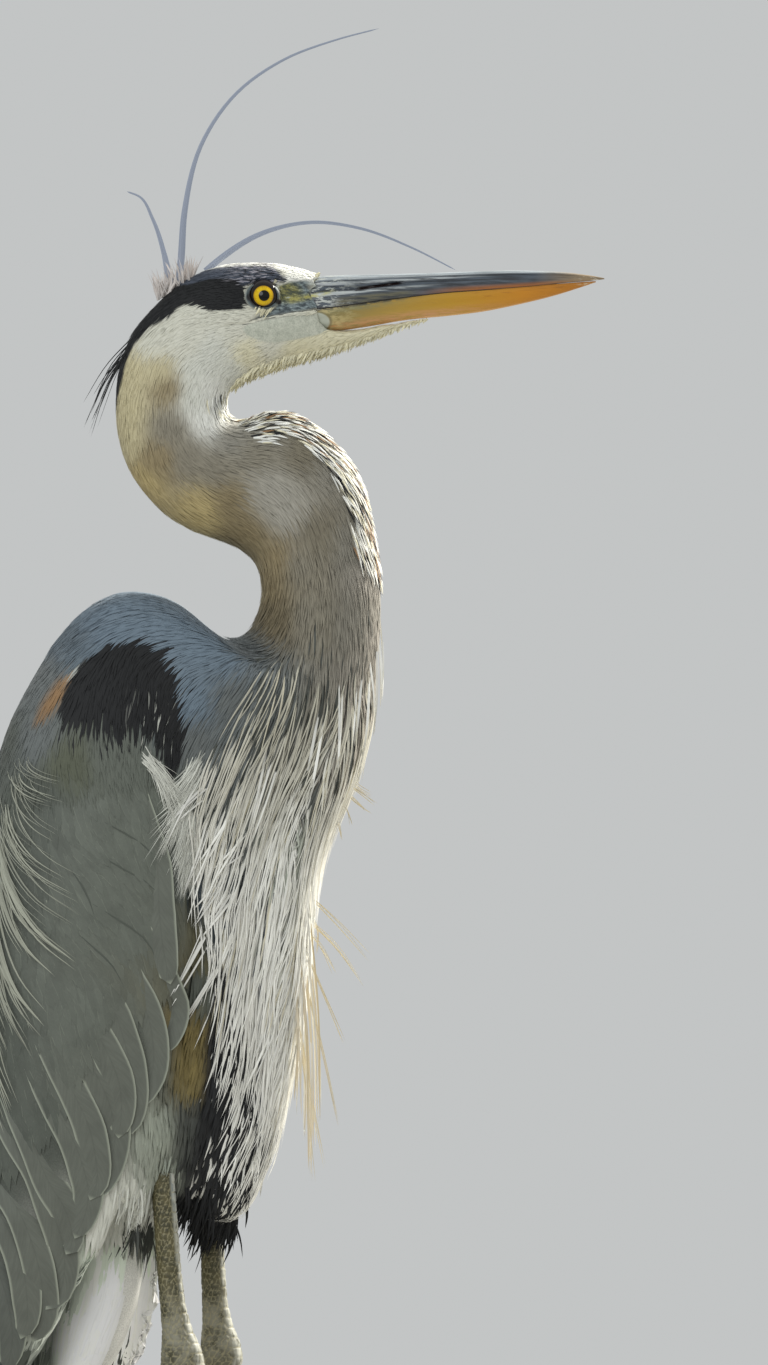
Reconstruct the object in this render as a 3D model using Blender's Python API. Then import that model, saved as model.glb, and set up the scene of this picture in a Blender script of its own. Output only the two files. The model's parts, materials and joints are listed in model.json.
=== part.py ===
"""A great blue heron standing alert with its neck drawn back in an S: a still, life-size model.

Metres, +Z up. The bird faces +X, its right side is -Y, and it stands on the floor at z = 0.
Tables of stations are in millimetres, measured from the floor and from a line just behind the
ankles; the whole bird is then moved so that the origin is at the bottom centre of its box.
"""

import math

import bmesh
import bpy
from mathutils import Vector

# Driving dimensions
MM = 0.001
GAP = 0.0003  # the thin cut between two neighbouring pieces
BILL_TIP_X = 215.5  # mm, the foremost point of the bird
WING_REAR_X = -128.0  # mm, the rearmost point of the folded wings
HIP_Y = 35.0  # mm, from the middle of the body to the middle of a leg
ANKLE_Z = 176.0
FAR_LEG_AHEAD = 19.0  # mm, how far the left leg stands in front of the right
FAR_LEG_LEAN = 0.06  # how much more the left leg leans forward above its ankle
EYE_AT = (38.2, 730.3)
EYE_DEEP = 11.4  # mm from the middle of the head to the middle of an eyeball
EYE_RADIUS = 8.6
RIGHT, LEFT = -1, 1

BODY_SIDES = 18
WING_SIDES = 9
LEG_SIDES = 10
PLUME_SIDES = 5


# ---- helpers -------------------------------------------------------------------------------


def clear_scene():
    for obj in list(bpy.data.objects):
        bpy.data.objects.remove(obj)


def finish(name, colour, roughness):
    """A plain finish: the part's own colour and how dull it is."""
    material = bpy.data.materials.new(name)
    material.use_nodes = True
    shader = material.node_tree.nodes["Principled BSDF"]
    shader.inputs["Base Color"].default_value = (*colour, 1.0)
    shader.inputs["Roughness"].default_value = roughness
    shader.inputs["Metallic"].default_value = 0.0
    return material


def smooth_rows(rows, steps):
    """The rows, with steps - 1 more between each two, on a curve through all of them."""
    found = []
    last = len(rows) - 1
    for i in range(last):
        four = [rows[max(i - 1, 0)], rows[i], rows[i + 1], rows[min(i + 2, last)]]
        for k in range(steps):
            t = k / steps
            found.append(
                tuple(
                    b
                    + 0.5 * t * (c - a)
                    + t * t * (a - 2.5 * b + 2 * c - 0.5 * d)
                    + t**3 * (1.5 * (b - c) + 0.5 * (d - a))
                    for a, b, c, d in zip(*four)
                )
            )
    found.append(tuple(rows[-1]))
    return found


def new_piece(name, bm, material, parent):
    """Closes the mesh up as an object under the bird's empty."""
    bmesh.ops.recalc_face_normals(bm, faces=bm.faces)
    mesh = bpy.data.meshes.new(name)
    bm.to_mesh(mesh)
    bm.free()
    mesh.materials.append(material)
    mesh.shade_smooth()
    mesh.set_sharp_from_angle(angle=math.radians(40))
    piece = bpy.data.objects.new(name, mesh)
    piece.parent = parent
    bpy.context.scene.collection.objects.link(piece)
    return piece


def loft(name, rings, material, parent):
    """One closed skin over rings of equal count, given in millimetres, with a flat cap at each end."""
    bm = bmesh.new()
    loops = [[bm.verts.new(Vector(p) * MM) for p in ring] for ring in rings]
    for near, far in zip(loops, loops[1:]):
        for k in range(len(near)):
            j = (k + 1) % len(near)
            bm.faces.new((near[k], near[j], far[j], far[k]))
    bm.faces.new(reversed(loops[0]))
    bm.faces.new(loops[-1])
    return new_piece(name, bm, material, parent)


def as_cutter(piece, grown=1.6 * GAP):
    """A hidden copy of a piece, grown by the gap, for cutting room for it out of its neighbours."""
    cutter = piece.copy()
    graph = bpy.context.evaluated_depsgraph_get()
    cutter.data = bpy.data.meshes.new_from_object(piece.evaluated_get(graph))
    cutter.modifiers.clear()
    cutter.name = piece.name + "_room"
    cutter.hide_render = True
    cutter.display_type = "WIRE"
    bpy.context.scene.collection.objects.link(cutter)
    bm = bmesh.new()
    bm.from_mesh(cutter.data)
    bm.normal_update()
    moves = [(v, v.normal * grown) for v in bm.verts]
    for v, move in moves:
        v.co += move
    bm.to_mesh(cutter.data)
    bm.free()
    bpy.context.view_layer.update()
    return cutter


def combine(piece, other, operation):
    modifier = piece.modifiers.new(operation.lower() + "_" + other.name, "BOOLEAN")
    modifier.operation = operation
    modifier.object = other
    bpy.context.view_layer.update()


def cut_clear_of(piece, *neighbours):
    for neighbour in neighbours:
        combine(piece, neighbour, "DIFFERENCE")


def absorb(piece, other):
    """Makes the other shape part of this piece; what is left of it is a hidden helper."""
    other.hide_render = True
    other.display_type = "WIRE"
    combine(piece, other, "UNION")


# ---- head, neck and trunk: one body, parted by thin cuts ---------------------------------------

# Each station is a line across the body in its plane of symmetry, from the back to the front of
# the bird, as back x, back z, front x, front z, with the half width there and how far the
# widest level leans towards the back (0 is midway).
HEAD = [
    (76.4, 741.0, 72.0, 708.0, 9.6, -0.10),
    (62.5, 744.2, 61.5, 699.0, 12.6, -0.10),
    (49.9, 747.7, 48.5, 693.4, 16.4, -0.05),
    (31.0, 748.9, 34.5, 687.2, 19.2, 0.0),
    (13.4, 747.0, 24.5, 682.0, 20.6, 0.0),
    (-3.1, 740.2, 19.5, 677.4, 21.4, 0.0),
    (-14.4, 732.4, 18.3, 673.6, 21.8, 0.0),
]
NECK_UPPER = [
    HEAD[-1],
    (-25.7, 719.9, 18.6, 670.4, 22.2, 0.0),
    (-34.5, 708.4, 19.8, 668.0, 22.5, 0.0),
    (-40.6, 688.0, 21.6, 666.0, 22.9, 0.0),
    (-41.5, 666.0, 23.2, 664.9, 23.3, 0.0),
]
NECK_BEND = [
    NECK_UPPER[-1],
    (-38.3, 648.0, 24.7, 664.0, 23.8, 0.0),
    (-32.0, 634.1, 26.8, 664.2, 24.3, 0.0),
    (-23.2, 622.8, 30.6, 666.2, 24.8, 0.0),
    (-12.5, 612.4, 36.0, 669.4, 25.3, 0.0),
    (0.0, 605.4, 43.5, 671.6, 25.8, 0.0),
    (13.0, 601.2, 52.5, 671.0, 26.4, 0.0),
    (24.5, 596.8, 62.5, 666.0, 27.0, 0.0),
    (31.6, 591.0, 74.0, 656.4, 27.4, 0.0),
]
NECK_LOWER = [
    NECK_BEND[-1],
    (34.9, 584.6, 85.6, 643.2, 27.9, 0.0),
    (36.0, 579.0, 92.3, 627.6, 28.3, 0.0),
    (36.0, 574.4, 97.2, 603.4, 28.9, 0.0),
    (34.6, 569.2, 100.2, 583.0, 30.2, 0.0),
    (31.4, 561.0, 100.8, 560.0, 33.0, 0.05),
]
TRUNK = [
    NECK_LOWER[-1],
    (25.4, 551.8, 98.8, 534.0, 38.0, 0.14),
    (14.0, 555.4, 94.2, 509.0, 46.5, 0.26),
    (-3.0, 571.0, 87.0, 486.0, 55.0, 0.34),
    (-26.0, 579.2, 76.4, 460.0, 61.5, 0.36),
    (-50.0, 573.6, 66.0, 433.0, 65.0, 0.33),
    (-73.0, 551.0, 58.5, 404.0, 66.5, 0.27),
    (-90.0, 519.0, 54.0, 374.0, 66.0, 0.20),
    (-102.5, 478.0, 49.5, 344.0, 64.0, 0.13),
    (-110.5, 428.0, 42.5, 314.0, 60.5, 0.06),
    (-113.0, 374.0, 30.5, 286.0, 54.5, 0.0),
    (-109.5, 322.0, 10.0, 263.0, 46.0, -0.05),
    (-101.0, 279.0, -18.0, 248.0, 35.0, -0.05),
    (-91.0, 250.0, -46.0, 240.0, 22.0, 0.0),
    (-82.0, 236.0, -64.0, 234.0, 9.0, 0.0),
]
# The feathered strip under the bill, between the two branches of the lower mandible.
CHIN = [
    (52.0, 712.0, 52.0, 695.2, 11.5, 0.0),
    (76.4, 714.5, 76.4, 700.8, 8.6, 0.0),
    (95.3, 718.0, 95.3, 706.4, 6.4, 0.0),
    (114.2, 722.0, 114.2, 713.2, 4.4, 0.0),
    (127.5, 724.0, 129.0, 718.2, 2.4, 0.0),
]


def body_ring(station, sides=BODY_SIDES, shift=0.0):
    """One cross-section; shift moves it square to its own line, as a share of a millimetre."""
    back = Vector((station[0], 0.0, station[1]))
    front = Vector((station[2], 0.0, station[3]))
    half_width, lean = station[4], station[5]
    middle, reach = (back + front) / 2, (back - front) / 2
    square = Vector((reach.z, 0.0, -reach.x)).normalized()
    ring = []
    for k in range(sides):
        angle = 2 * math.pi * k / sides
        across = half_width * math.sin(angle) * (1 + lean * math.cos(angle))
        ring.append(
            middle + reach * math.cos(angle) + Vector((0, across, 0)) + square * shift
        )
    return ring


def body_piece(name, stations, steps, material, bird, first_cut=True, last_cut=True):
    """A length of the body, short of its neighbours by half the gap at each cut end."""
    rows = smooth_rows(stations, steps)
    half_gap = 0.5 * GAP / MM
    rings = [body_ring(row) for row in rows]
    # The stations run from the bill towards the tail, with the section's square side behind.
    if first_cut:
        rings[0] = body_ring(rows[0], shift=-half_gap)
    if last_cut:
        rings[-1] = body_ring(rows[-1], shift=half_gap)
    return loft(name, rings, material, bird)


# ---- bill and eyes -------------------------------------------------------------------------

# Upper mandible: x, ridge height, height of the mouth line, half width. It starts in the head.
BILL_UPPER = [
    (60.0, 740.0, 722.2, 9.6),
    (76.4, 740.6, 724.2, 9.2),
    (98.0, 741.2, 727.4, 7.9),
    (114.2, 741.6, 729.4, 6.9),
    (133.0, 742.2, 731.6, 5.9),
    (152.0, 742.9, 733.0, 5.0),
    (177.0, 743.1, 735.0, 3.8),
    (196.0, 742.2, 736.9, 2.6),
    (208.5, 740.6, 737.9, 1.4),
    (BILL_TIP_X, 739.3, 738.5, 0.4),
]
# Lower mandible: x, height of the mouth line, height of the under edge, half width.
BILL_LOWER = [
    (62.5, 722.1, 710.2, 9.4),
    (76.4, 723.8, 711.6, 9.0),
    (89.0, 725.6, 713.5, 8.1),
    (114.2, 729.0, 717.7, 6.6),
    (133.0, 731.2, 719.5, 5.6),
    (152.0, 732.6, 721.8, 4.7),
    (171.0, 734.2, 725.6, 3.7),
    (190.0, 735.9, 730.3, 2.6),
    (206.0, 737.2, 735.4, 1.0),
    (211.0, 737.6, 737.0, 0.4),
]


def mandible_ring(station, ridge_up):
    """A half-round section, with its flat on the mouth line and its ridge away from it."""
    x, high, low, half_width = station
    flat, ridge = (low, high) if ridge_up else (high, low)
    ring = []
    count = 11
    for k in range(count):
        angle = math.pi * k / (count - 1)
        rise = max(math.sin(angle), 0.0) ** 0.8
        ring.append((x, half_width * math.cos(angle), flat + (ridge - flat) * rise))
    return ring


def bill(name, stations, ridge_up, material, bird):
    rings = [mandible_ring(station, ridge_up) for station in stations]
    return loft(name, rings, material, bird)


def eye(name, side, material, bird):
    bm = bmesh.new()
    bmesh.ops.create_uvsphere(
        bm, u_segments=12, v_segments=8, radius=EYE_RADIUS * MM
    )
    at = Vector((EYE_AT[0], side * EYE_DEEP, EYE_AT[1])) * MM
    bmesh.ops.translate(bm, verts=bm.verts, vec=at)
    return new_piece(name, bm, material, bird)


# ---- wings, tail and the loose coat ---------------------------------------------------------------

# A folded wing, from the shoulder down to the tip: front edge x, z, rear edge x, z, then how far
# from the middle of the bird its front edge, its rear edge and its outer face are.
WING_TOP = [
    (-6.0, 556.0, -46.0, 566.0, 40.0, 14.0, 52.0),
    (4.0, 534.0, -74.0, 545.0, 48.0, 9.0, 68.0),
    (5.0, 500.0, -96.0, 510.0, 52.0, 5.0, 78.5),
    (4.0, 460.0, -110.0, 462.0, 54.0, 3.0, 83.0),
    (4.0, 415.0, -120.0, 410.0, 56.0, 2.0, 83.0),
    (2.0, 370.0, -126.0, 355.0, 56.0, 2.0, 79.0),
]
WING_RIGHT = WING_TOP + [
    (-9.0, 325.0, WING_REAR_X, 300.0, 54.0, 2.0, 73.0),
    (-27.0, 280.0, -127.0, 250.0, 52.0, 2.0, 66.0),
    (-42.0, 236.0, -124.0, 204.0, 46.0, 2.0, 57.0),
    (-66.0, 196.0, -119.0, 164.0, 38.0, 2.0, 45.0),
    (-88.0, 158.0, -113.0, 134.0, 28.0, 3.0, 32.0),
    (-100.0, 122.0, -105.0, 112.0, 16.0, 8.0, 18.0),
]
# The left wing hangs a little more open, with its lower front edge further forward.
WING_LEFT = WING_TOP + [
    (0.0, 325.0, WING_REAR_X, 300.0, 56.0, 2.0, 73.0),
    (-8.0, 280.0, -127.0, 250.0, 58.0, 2.0, 67.0),
    (-12.0, 236.0, -124.0, 204.0, 55.0, 2.0, 60.0),
    (-16.0, 196.0, -119.0, 164.0, 50.0, 2.0, 53.0),
    (-34.0, 158.0, -113.0, 134.0, 38.0, 3.0, 42.0),
    (-78.0, 118.0, -100.0, 108.0, 22.0, 12.0, 24.0),
]


def wing_ring(station, side):
    """A bow from the front edge round the outer face to the rear edge, closed by a flat inner face."""
    front = Vector((station[0], side * station[4], station[1]))
    rear = Vector((station[2], side * station[5], station[3]))
    ring = []
    for k in range(WING_SIDES + 1):
        angle = math.pi * k / WING_SIDES
        point = front.lerp(rear, (1 - math.cos(angle)) / 2)
        bow = max(math.sin(angle), 0.0) ** 0.75
        point.y += (side * station[6] - point.y) * bow
        ring.append(point)
    for k in range(1, 4):
        ring.append(rear.lerp(front, k / 4) - Vector((0, side * 1.5, 0)))
    return ring


# The tail: middle x, z, half breadth across the bird, half thickness.
TAIL = [
    (-86.0, 262.0, 12.0, 9.0),
    (-87.0, 236.0, 16.0, 8.0),
    (-88.0, 200.0, 18.0, 6.0),
    (-87.5, 160.0, 20.0, 4.5),
    (-87.0, 124.0, 22.0, 3.0),
    (-86.5, 100.0, 15.0, 1.6),
]
# The white feathers under the tail, hanging from the vent.
UNDERTAIL = [
    (-44.0, 262.0, 26.0, 16.0),
    (-43.0, 236.0, 30.0, 23.0),
    (-47.0, 208.0, 30.0, 25.0),
    (-53.5, 180.0, 26.0, 21.0),
    (-63.0, 156.0, 19.0, 14.0),
    (-71.0, 136.0, 9.0, 5.0),
]


def hanging(name, stations, material, bird, sides=14):
    """A flat, hanging shape of level oval sections."""
    rings = []
    for x, z, breadth, thick in stations:
        rings.append(
            [
                (
                    x + thick * math.cos(2 * math.pi * k / sides),
                    breadth * math.sin(2 * math.pi * k / sides),
                    z,
                )
                for k in range(sides)
            ]
        )
    return loft(name, rings, material, bird)


# The apron of long plumes from the foot of the neck: z, front x, rear x, half width.
APRON = [
    (528.0, 99.0, 84.0, 12.0),
    (512.0, 97.6, 70.0, 30.0),
    (494.0, 92.5, 58.0, 41.0),
    (474.0, 85.5, 48.0, 47.0),
    (452.0, 74.5, 40.0, 49.0),
    (426.0, 67.0, 34.0, 47.0),
    (399.0, 63.5, 32.0, 43.0),
    (370.0, 61.2, 31.0, 37.0),
    (340.0, 56.5, 31.0, 30.0),
    (312.0, 50.5, 32.0, 22.0),
    (290.0, 45.5, 34.0, 12.0),
    (276.0, 42.0, 37.0, 4.0),
]
# Belly feathers, which fall between the legs in front: z, front x, rear x, half width.
BELLY = [
    (330.0, 46.0, -20.0, 34.0),
    (300.0, 46.0, -22.0, 36.0),
    (278.0, 40.0, -18.0, 26.0),
    (262.0, 33.0, -4.0, 18.0),
    (250.0, 26.0, 8.0, 8.0),
]


def fall(name, stations, material, bird, sides=16):
    """A fall of feathers made of level sections, given by their front and rear edges."""
    rows = [((a + b) / 2, z, w, (a - b) / 2) for z, a, b, w in stations]
    return hanging(name, rows, material, bird, sides)


# ---- legs and feet -------------------------------------------------------------------------

# The feathered thigh of the right leg: x, z, half depth, half width.
THIGH = [
    (-26.0, 352.0, 24.0, 18.0),
    (-25.0, 322.0, 22.0, 23.0),
    (-24.0, 294.0, 20.5, 21.0),
    (-20.5, 268.0, 15.5, 15.0),
    (-14.5, 250.0, 9.8, 9.0),
    (-12.0, 242.0, 8.0, 7.2),
]
# Bare shank from the thigh feathers to the ankle, for the right leg: x, z, half depth, half width.
SHANK = [
    (-12.0, 241.6, 6.1, 5.4),
    (-10.4, 225.0, 6.2, 5.4),
    (-8.4, 206.0, 6.6, 5.6),
    (-6.2, 194.0, 8.0, 6.2),
]
TARSUS = [
    (-6.2, 193.7, 8.0, 6.2),
    (-4.0, 184.0, 10.4, 7.6),
    (-3.2, ANKLE_Z, 11.6, 8.2),
    (-4.4, 166.0, 10.0, 7.6),
    (-6.2, 154.0, 7.2, 6.0),
    (-7.8, 136.0, 5.9, 5.0),
    (-9.6, 100.0, 5.3, 4.6),
    (-11.4, 60.0, 5.4, 4.6),
    (-12.8, 30.0, 6.0, 5.4),
    (-13.6, 17.0, 7.4, 7.2),
]


def leg_piece(name, stations, side, material, bird, sides=LEG_SIDES):
    """A length of one leg, of level oval sections; the left leg stands ahead of the right."""
    rings = []
    for x, z, depth, width in stations:
        if side == LEFT:
            x += FAR_LEG_AHEAD + FAR_LEG_LEAN * max(z - ANKLE_Z, 0.0)
        rings.append(
            [
                (
                    x + depth * math.cos(2 * math.pi * k / sides),
                    side * HIP_Y + width * math.sin(2 * math.pi * k / sides),
                    z,
                )
                for k in range(sides)
            ]
        )
    return loft(name, rings, material, bird)


# Toes: name, heading from straight ahead and outwards in degrees, length, number of joints.
TOES = [
    ("inner", -24.0, 76.0, 3),
    ("middle", 4.0, 96.0, 4),
    ("outer", 34.0, 80.0, 4),
    ("hind", 172.0, 46.0, 1),
]
FOOT_AT = (-13.8, 8.5)  # x and height of the middle of the right foot
FOOT_TOP = 16.6
TOE_THICK = (5.4, 2.9)  # half thickness of a toe at its root and at its claw
CLAW_LENGTH = {"inner": 12.0, "middle": 13.0, "outer": 11.0, "hind": 17.0}


def toe_line(heading, side):
    """Where a toe starts at the foot's middle, and its level direction."""
    turn = math.radians(heading)
    ahead = FAR_LEG_AHEAD if side == LEFT else 0.0
    start = Vector((FOOT_AT[0] + ahead, side * HIP_Y, 0.0))
    way = Vector((math.cos(turn), side * math.sin(turn), 0.0))
    return start, way


def toe_rings(start, way, length, joints, sides=8):
    """A toe that swells at each joint, with a flat sole on the floor."""
    across = Vector((-way.y, way.x, 0.0))
    steps = 2 * joints + 1
    rings = []
    for i in range(steps + 1):
        t = i / steps
        thick = TOE_THICK[0] + (TOE_THICK[1] - TOE_THICK[0]) * t
        thick *= 1.06 - 0.1 * (-1) ** i
        height = FOOT_AT[1] * (1 - t) ** 2 + thick * 0.86 * (1 - (1 - t) ** 2)
        middle = start + way * (length * t) + Vector((0, 0, height))
        ring = []
        for k in range(sides):
            angle = 2 * math.pi * k / sides
            point = middle + across * (thick * math.cos(angle))
            point += Vector((0, 0, thick * math.sin(angle)))
            point.z = max(point.z, 0.0)
            ring.append(point)
        rings.append(ring)
    return rings


def foot(name, side, material, bird):
    """The pad under the tarsus with its four toes, as one piece."""
    pad = [
        (FOOT_AT[0], FOOT_TOP, 7.2, 7.0),
        (FOOT_AT[0], FOOT_AT[1], 8.6, 8.4),
        (FOOT_AT[0], 0.0, 7.0, 6.8),
    ]
    whole = leg_piece(name, pad, side, material, bird)
    for toe, heading, length, joints in TOES:
        start, way = toe_line(heading, side)
        rings = toe_rings(start, way, length, joints)
        absorb(whole, loft(name + "_" + toe, rings, material, bird))
    return whole


def claw(name, toe, heading, toe_length, side, material, bird):
    """A curved, pointed claw that ends on the floor."""
    start, way = toe_line(heading, side)
    across = Vector((-way.y, way.x, 0.0))
    length = CLAW_LENGTH[toe]
    root = TOE_THICK[1] * 0.9
    rings = []
    steps = 4
    for i in range(steps + 1):
        t = i / steps
        thick = root * (1 - t) ** 0.8 + 0.3
        height = root + 1.6 * math.sin(math.pi * t) - (root - thick) * t
        middle = start + way * (toe_length + GAP / MM + length * t)
        ring = []
        for k in range(6):
            angle = 2 * math.pi * k / 6
            point = middle + across * (0.75 * thick * math.cos(angle))
            point += Vector((0, 0, height + thick * math.sin(angle)))
            point.z = max(point.z, 0.0)
            ring.append(point)
        rings.append(ring)
    return loft(name, rings, material, bird)


# ---- long plumes -------------------------------------------------------------------------

# Centre lines as x, y, z, each with the half thickness at its root and tip.
CREST_TALL = [
    (-4.5, -2.0, 745.5),
    (-2.8, -2.0, 774.0),
    (6.4, -2.0, 809.7),
    (23.7, -1.5, 834.9),
    (48.9, -1.0, 852.9),
    (75.4, -0.5, 863.0),
    (98.3, 0.0, 869.0),
]
CREST_ARCHED = [
    (14.6, 3.0, 748.6),
    (35.7, 4.0, 762.0),
    (62.2, 5.5, 768.4),
    (88.7, 7.5, 765.3),
    (115.2, 9.5, 755.4),
    (138.5, 10.5, 743.4),
]
CREST_SHORT = [
    (-11.0, 2.0, 740.0),
    (-13.4, 2.5, 751.4),
    (-19.4, 3.0, 769.9),
    (-26.0, 3.5, 782.6),
    (-33.0, 4.0, 784.5),
]
NAPE_PLUMES = [
    (-33.5, 0.0, 715.0),
    (-41.5, 0.0, 700.0),
    (-47.5, 0.0, 686.0),
    (-52.5, 0.0, 673.0),
    (-56.0, 0.0, 658.0),
]
# Loose breast plumes that stand away from the apron.
STRAYS = [
    [(62.0, -6.0, 412.0), (76.0, -8.0, 396.0), (94.0, -9.0, 385.0)],
    [(61.0, 4.0, 402.0), (72.0, 5.0, 385.0), (88.8, 6.0, 371.8)],
    [(60.5, -3.0, 374.0), (69.0, -5.0, 353.0), (80.0, -6.0, 341.8)],
    [(59.0, 5.0, 365.0), (66.0, 6.0, 326.0), (77.7, 7.0, 297.8)],
    [(57.5, 2.0, 356.0), (63.5, 3.0, 318.0), (71.0, 4.0, 279.2)],
    [(55.5, -3.0, 348.0), (58.5, -4.0, 308.0), (62.8, -5.0, 269.5)],
]


def plume(name, points, root, tip, material, bird, steps=2, broad=1.0):
    """A tapering round strand along a smooth line; broad widens it across the bird."""
    line = [Vector(p) for p in smooth_rows(points, steps)]
    rings = []
    for i, here in enumerate(line):
        way = (line[min(i + 1, len(line) - 1)] - line[max(i - 1, 0)]).normalized()
        across = Vector((0, 1, 0))
        over = way.cross(across).normalized()
        across = over.cross(way)
        thick = root + (tip - root) * i / (len(line) - 1)
        ring = []
        for k in range(PLUME_SIDES):
            angle = 2 * math.pi * k / PLUME_SIDES
            ring.append(
                here
                + across * (thick * broad * math.cos(angle))
                + over * (thick * math.sin(angle))
            )
        rings.append(ring)
    return loft(name, rings, material, bird)


# ---- the bird --------------------------------------------------------------------------------


def build_body(bird, grey, pale, black):
    """Head, neck and trunk, with the wings and the loose coat cut to lie against them."""
    head = body_piece("head", HEAD, 2, pale, bird, first_cut=False)
    chin = loft("chin", [body_ring(row, 10) for row in CHIN], pale, bird)
    absorb(head, chin)
    neck_upper = body_piece("neck_upper", NECK_UPPER, 1, pale, bird)
    body_piece("neck_bend", NECK_BEND, 1, grey, bird)
    neck_lower = body_piece("neck_lower", NECK_LOWER, 1, grey, bird)
    trunk = body_piece("trunk", TRUNK, 2, grey, bird, last_cut=False)
    rooms = [as_cutter(trunk), as_cutter(neck_lower)]
    head_rooms = [as_cutter(head), as_cutter(neck_upper)]

    # Each later piece is cut by the whole shape of every earlier one, grown by the gap.
    for side, label, table in ((RIGHT, "right", WING_RIGHT), (LEFT, "left", WING_LEFT)):
        rings = [wing_ring(row, side) for row in smooth_rows(table, 2)]
        wing = loft("wing_" + label, rings, grey, bird)
        room = as_cutter(wing)
        cut_clear_of(wing, rooms[0])
        rooms.append(room)
    apron = fall("breast_plumes", APRON, pale, bird)
    belly = fall("belly_feathers", BELLY, black, bird)
    undertail = hanging("undertail", UNDERTAIL, pale, bird)
    tail = hanging("tail", TAIL, grey, bird)
    for piece in (apron, belly, undertail, tail):
        room = as_cutter(piece)
        cut_clear_of(piece, *rooms)
        rooms.append(room)
    return head, head_rooms, rooms


def build_head(head, bird, horn, yellow, iris):
    """Bill and eyes, with room for them in the head."""
    upper = bill("bill_upper", BILL_UPPER, True, horn, bird)
    lower = bill("bill_lower", BILL_LOWER, False, yellow, bird)
    rooms = [as_cutter(upper), as_cutter(lower)]
    for side, label in ((RIGHT, "right"), (LEFT, "left")):
        rooms.append(as_cutter(eye("eye_" + label, side, iris, bird)))
    cut_clear_of(head, *rooms)


def build_legs(bird, rooms, grey, bare, claw_horn):
    for side, label in ((RIGHT, "right"), (LEFT, "left")):
        thigh = leg_piece("thigh_" + label, THIGH, side, grey, bird, BODY_SIDES)
        cut_clear_of(thigh, *rooms)
        leg_piece("shank_" + label, SHANK, side, bare, bird)
        leg_piece("tarsus_" + label, TARSUS, side, bare, bird)
        foot("foot_" + label, side, bare, bird)
        for toe, heading, length, _ in TOES:
            name = f"claw_{label}_{toe}"
            claw(name, toe, heading, length, side, claw_horn, bird)


def build_plumes(bird, head_rooms, rooms, slate, black, pale):
    crest = [
        plume("crest_tall", CREST_TALL, 1.5, 0.3, slate, bird),
        plume("crest_arched", CREST_ARCHED, 1.3, 0.3, slate, bird),
        plume("crest_short", CREST_SHORT, 1.5, 0.4, slate, bird),
        plume("nape_plumes", NAPE_PLUMES, 1.6, 0.4, black, bird, steps=1, broad=3.0),
    ]
    for piece in crest:
        cut_clear_of(piece, *head_rooms)
    for i, points in enumerate(STRAYS, 1):
        stray = plume(f"stray_plume_{i}", points, 0.7, 0.3, pale, bird)
        cut_clear_of(stray, *rooms)


clear_scene()
heron = bpy.data.objects.new("heron", None)
heron.location.x = -(BILL_TIP_X + WING_REAR_X) / 2 * MM
bpy.context.scene.collection.objects.link(heron)

plumage_grey = finish("plumage_grey", (0.30, 0.33, 0.37), 0.8)
plumage_pale = finish("plumage_pale", (0.72, 0.70, 0.64), 0.8)
plumage_black = finish("plumage_black", (0.03, 0.03, 0.04), 0.8)
plume_slate = finish("plume_slate", (0.38, 0.38, 0.45), 0.7)
bill_horn = finish("bill_horn", (0.10, 0.12, 0.15), 0.4)
bill_yellow = finish("bill_yellow", (0.65, 0.38, 0.06), 0.4)
eye_yellow = finish("eye_yellow", (0.85, 0.62, 0.02), 0.1)
leg_skin = finish("leg_skin", (0.23, 0.22, 0.15), 0.6)
claw_dark = finish("claw_dark", (0.05, 0.045, 0.04), 0.4)

head_node, crest_rooms, body_rooms = build_body(heron, plumage_grey, plumage_pale, plumage_black)
build_head(head_node, heron, bill_horn, bill_yellow, eye_yellow)
build_legs(heron, body_rooms, plumage_grey, leg_skin, claw_dark)
build_plumes(
    heron, crest_rooms, body_rooms, plume_slate, plumage_black, plumage_pale
)
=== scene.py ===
import bpy
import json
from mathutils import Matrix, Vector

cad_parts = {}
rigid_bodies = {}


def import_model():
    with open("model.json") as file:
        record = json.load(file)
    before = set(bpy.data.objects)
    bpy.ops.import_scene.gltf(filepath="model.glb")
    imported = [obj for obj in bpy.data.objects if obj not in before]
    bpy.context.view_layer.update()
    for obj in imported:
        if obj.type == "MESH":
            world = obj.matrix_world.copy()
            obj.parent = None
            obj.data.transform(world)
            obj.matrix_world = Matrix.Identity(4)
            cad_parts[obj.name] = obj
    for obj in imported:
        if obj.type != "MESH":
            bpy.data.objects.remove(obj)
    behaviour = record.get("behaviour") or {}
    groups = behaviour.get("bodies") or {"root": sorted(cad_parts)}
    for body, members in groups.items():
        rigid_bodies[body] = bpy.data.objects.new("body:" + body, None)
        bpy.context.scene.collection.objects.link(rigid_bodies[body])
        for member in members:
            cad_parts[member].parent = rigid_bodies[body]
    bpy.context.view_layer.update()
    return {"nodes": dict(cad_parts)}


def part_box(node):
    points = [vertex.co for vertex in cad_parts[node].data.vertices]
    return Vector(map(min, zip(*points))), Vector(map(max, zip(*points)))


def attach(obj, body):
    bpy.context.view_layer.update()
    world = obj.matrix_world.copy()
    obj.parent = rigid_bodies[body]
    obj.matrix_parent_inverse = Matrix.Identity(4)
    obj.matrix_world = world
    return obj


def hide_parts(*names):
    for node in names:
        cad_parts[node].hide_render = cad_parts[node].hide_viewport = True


for left_over in list(bpy.data.objects):
    bpy.data.objects.remove(left_over)
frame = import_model()

import json
import math

import bmesh
import numpy as np
from mathutils import Matrix, Vector
from mathutils.bvhtree import BVHTree

# ---- Skin --------------------------------------------------------------------------------------
# The bird's form under its coat: one closed skin over head, neck, trunk, folded wings, belly,
# thighs and vent, cast in one piece, so that nothing parts where two lengths of it meet. It lies
# deeper where the coat is longer, and comes up to the surface at the bare face.

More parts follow.
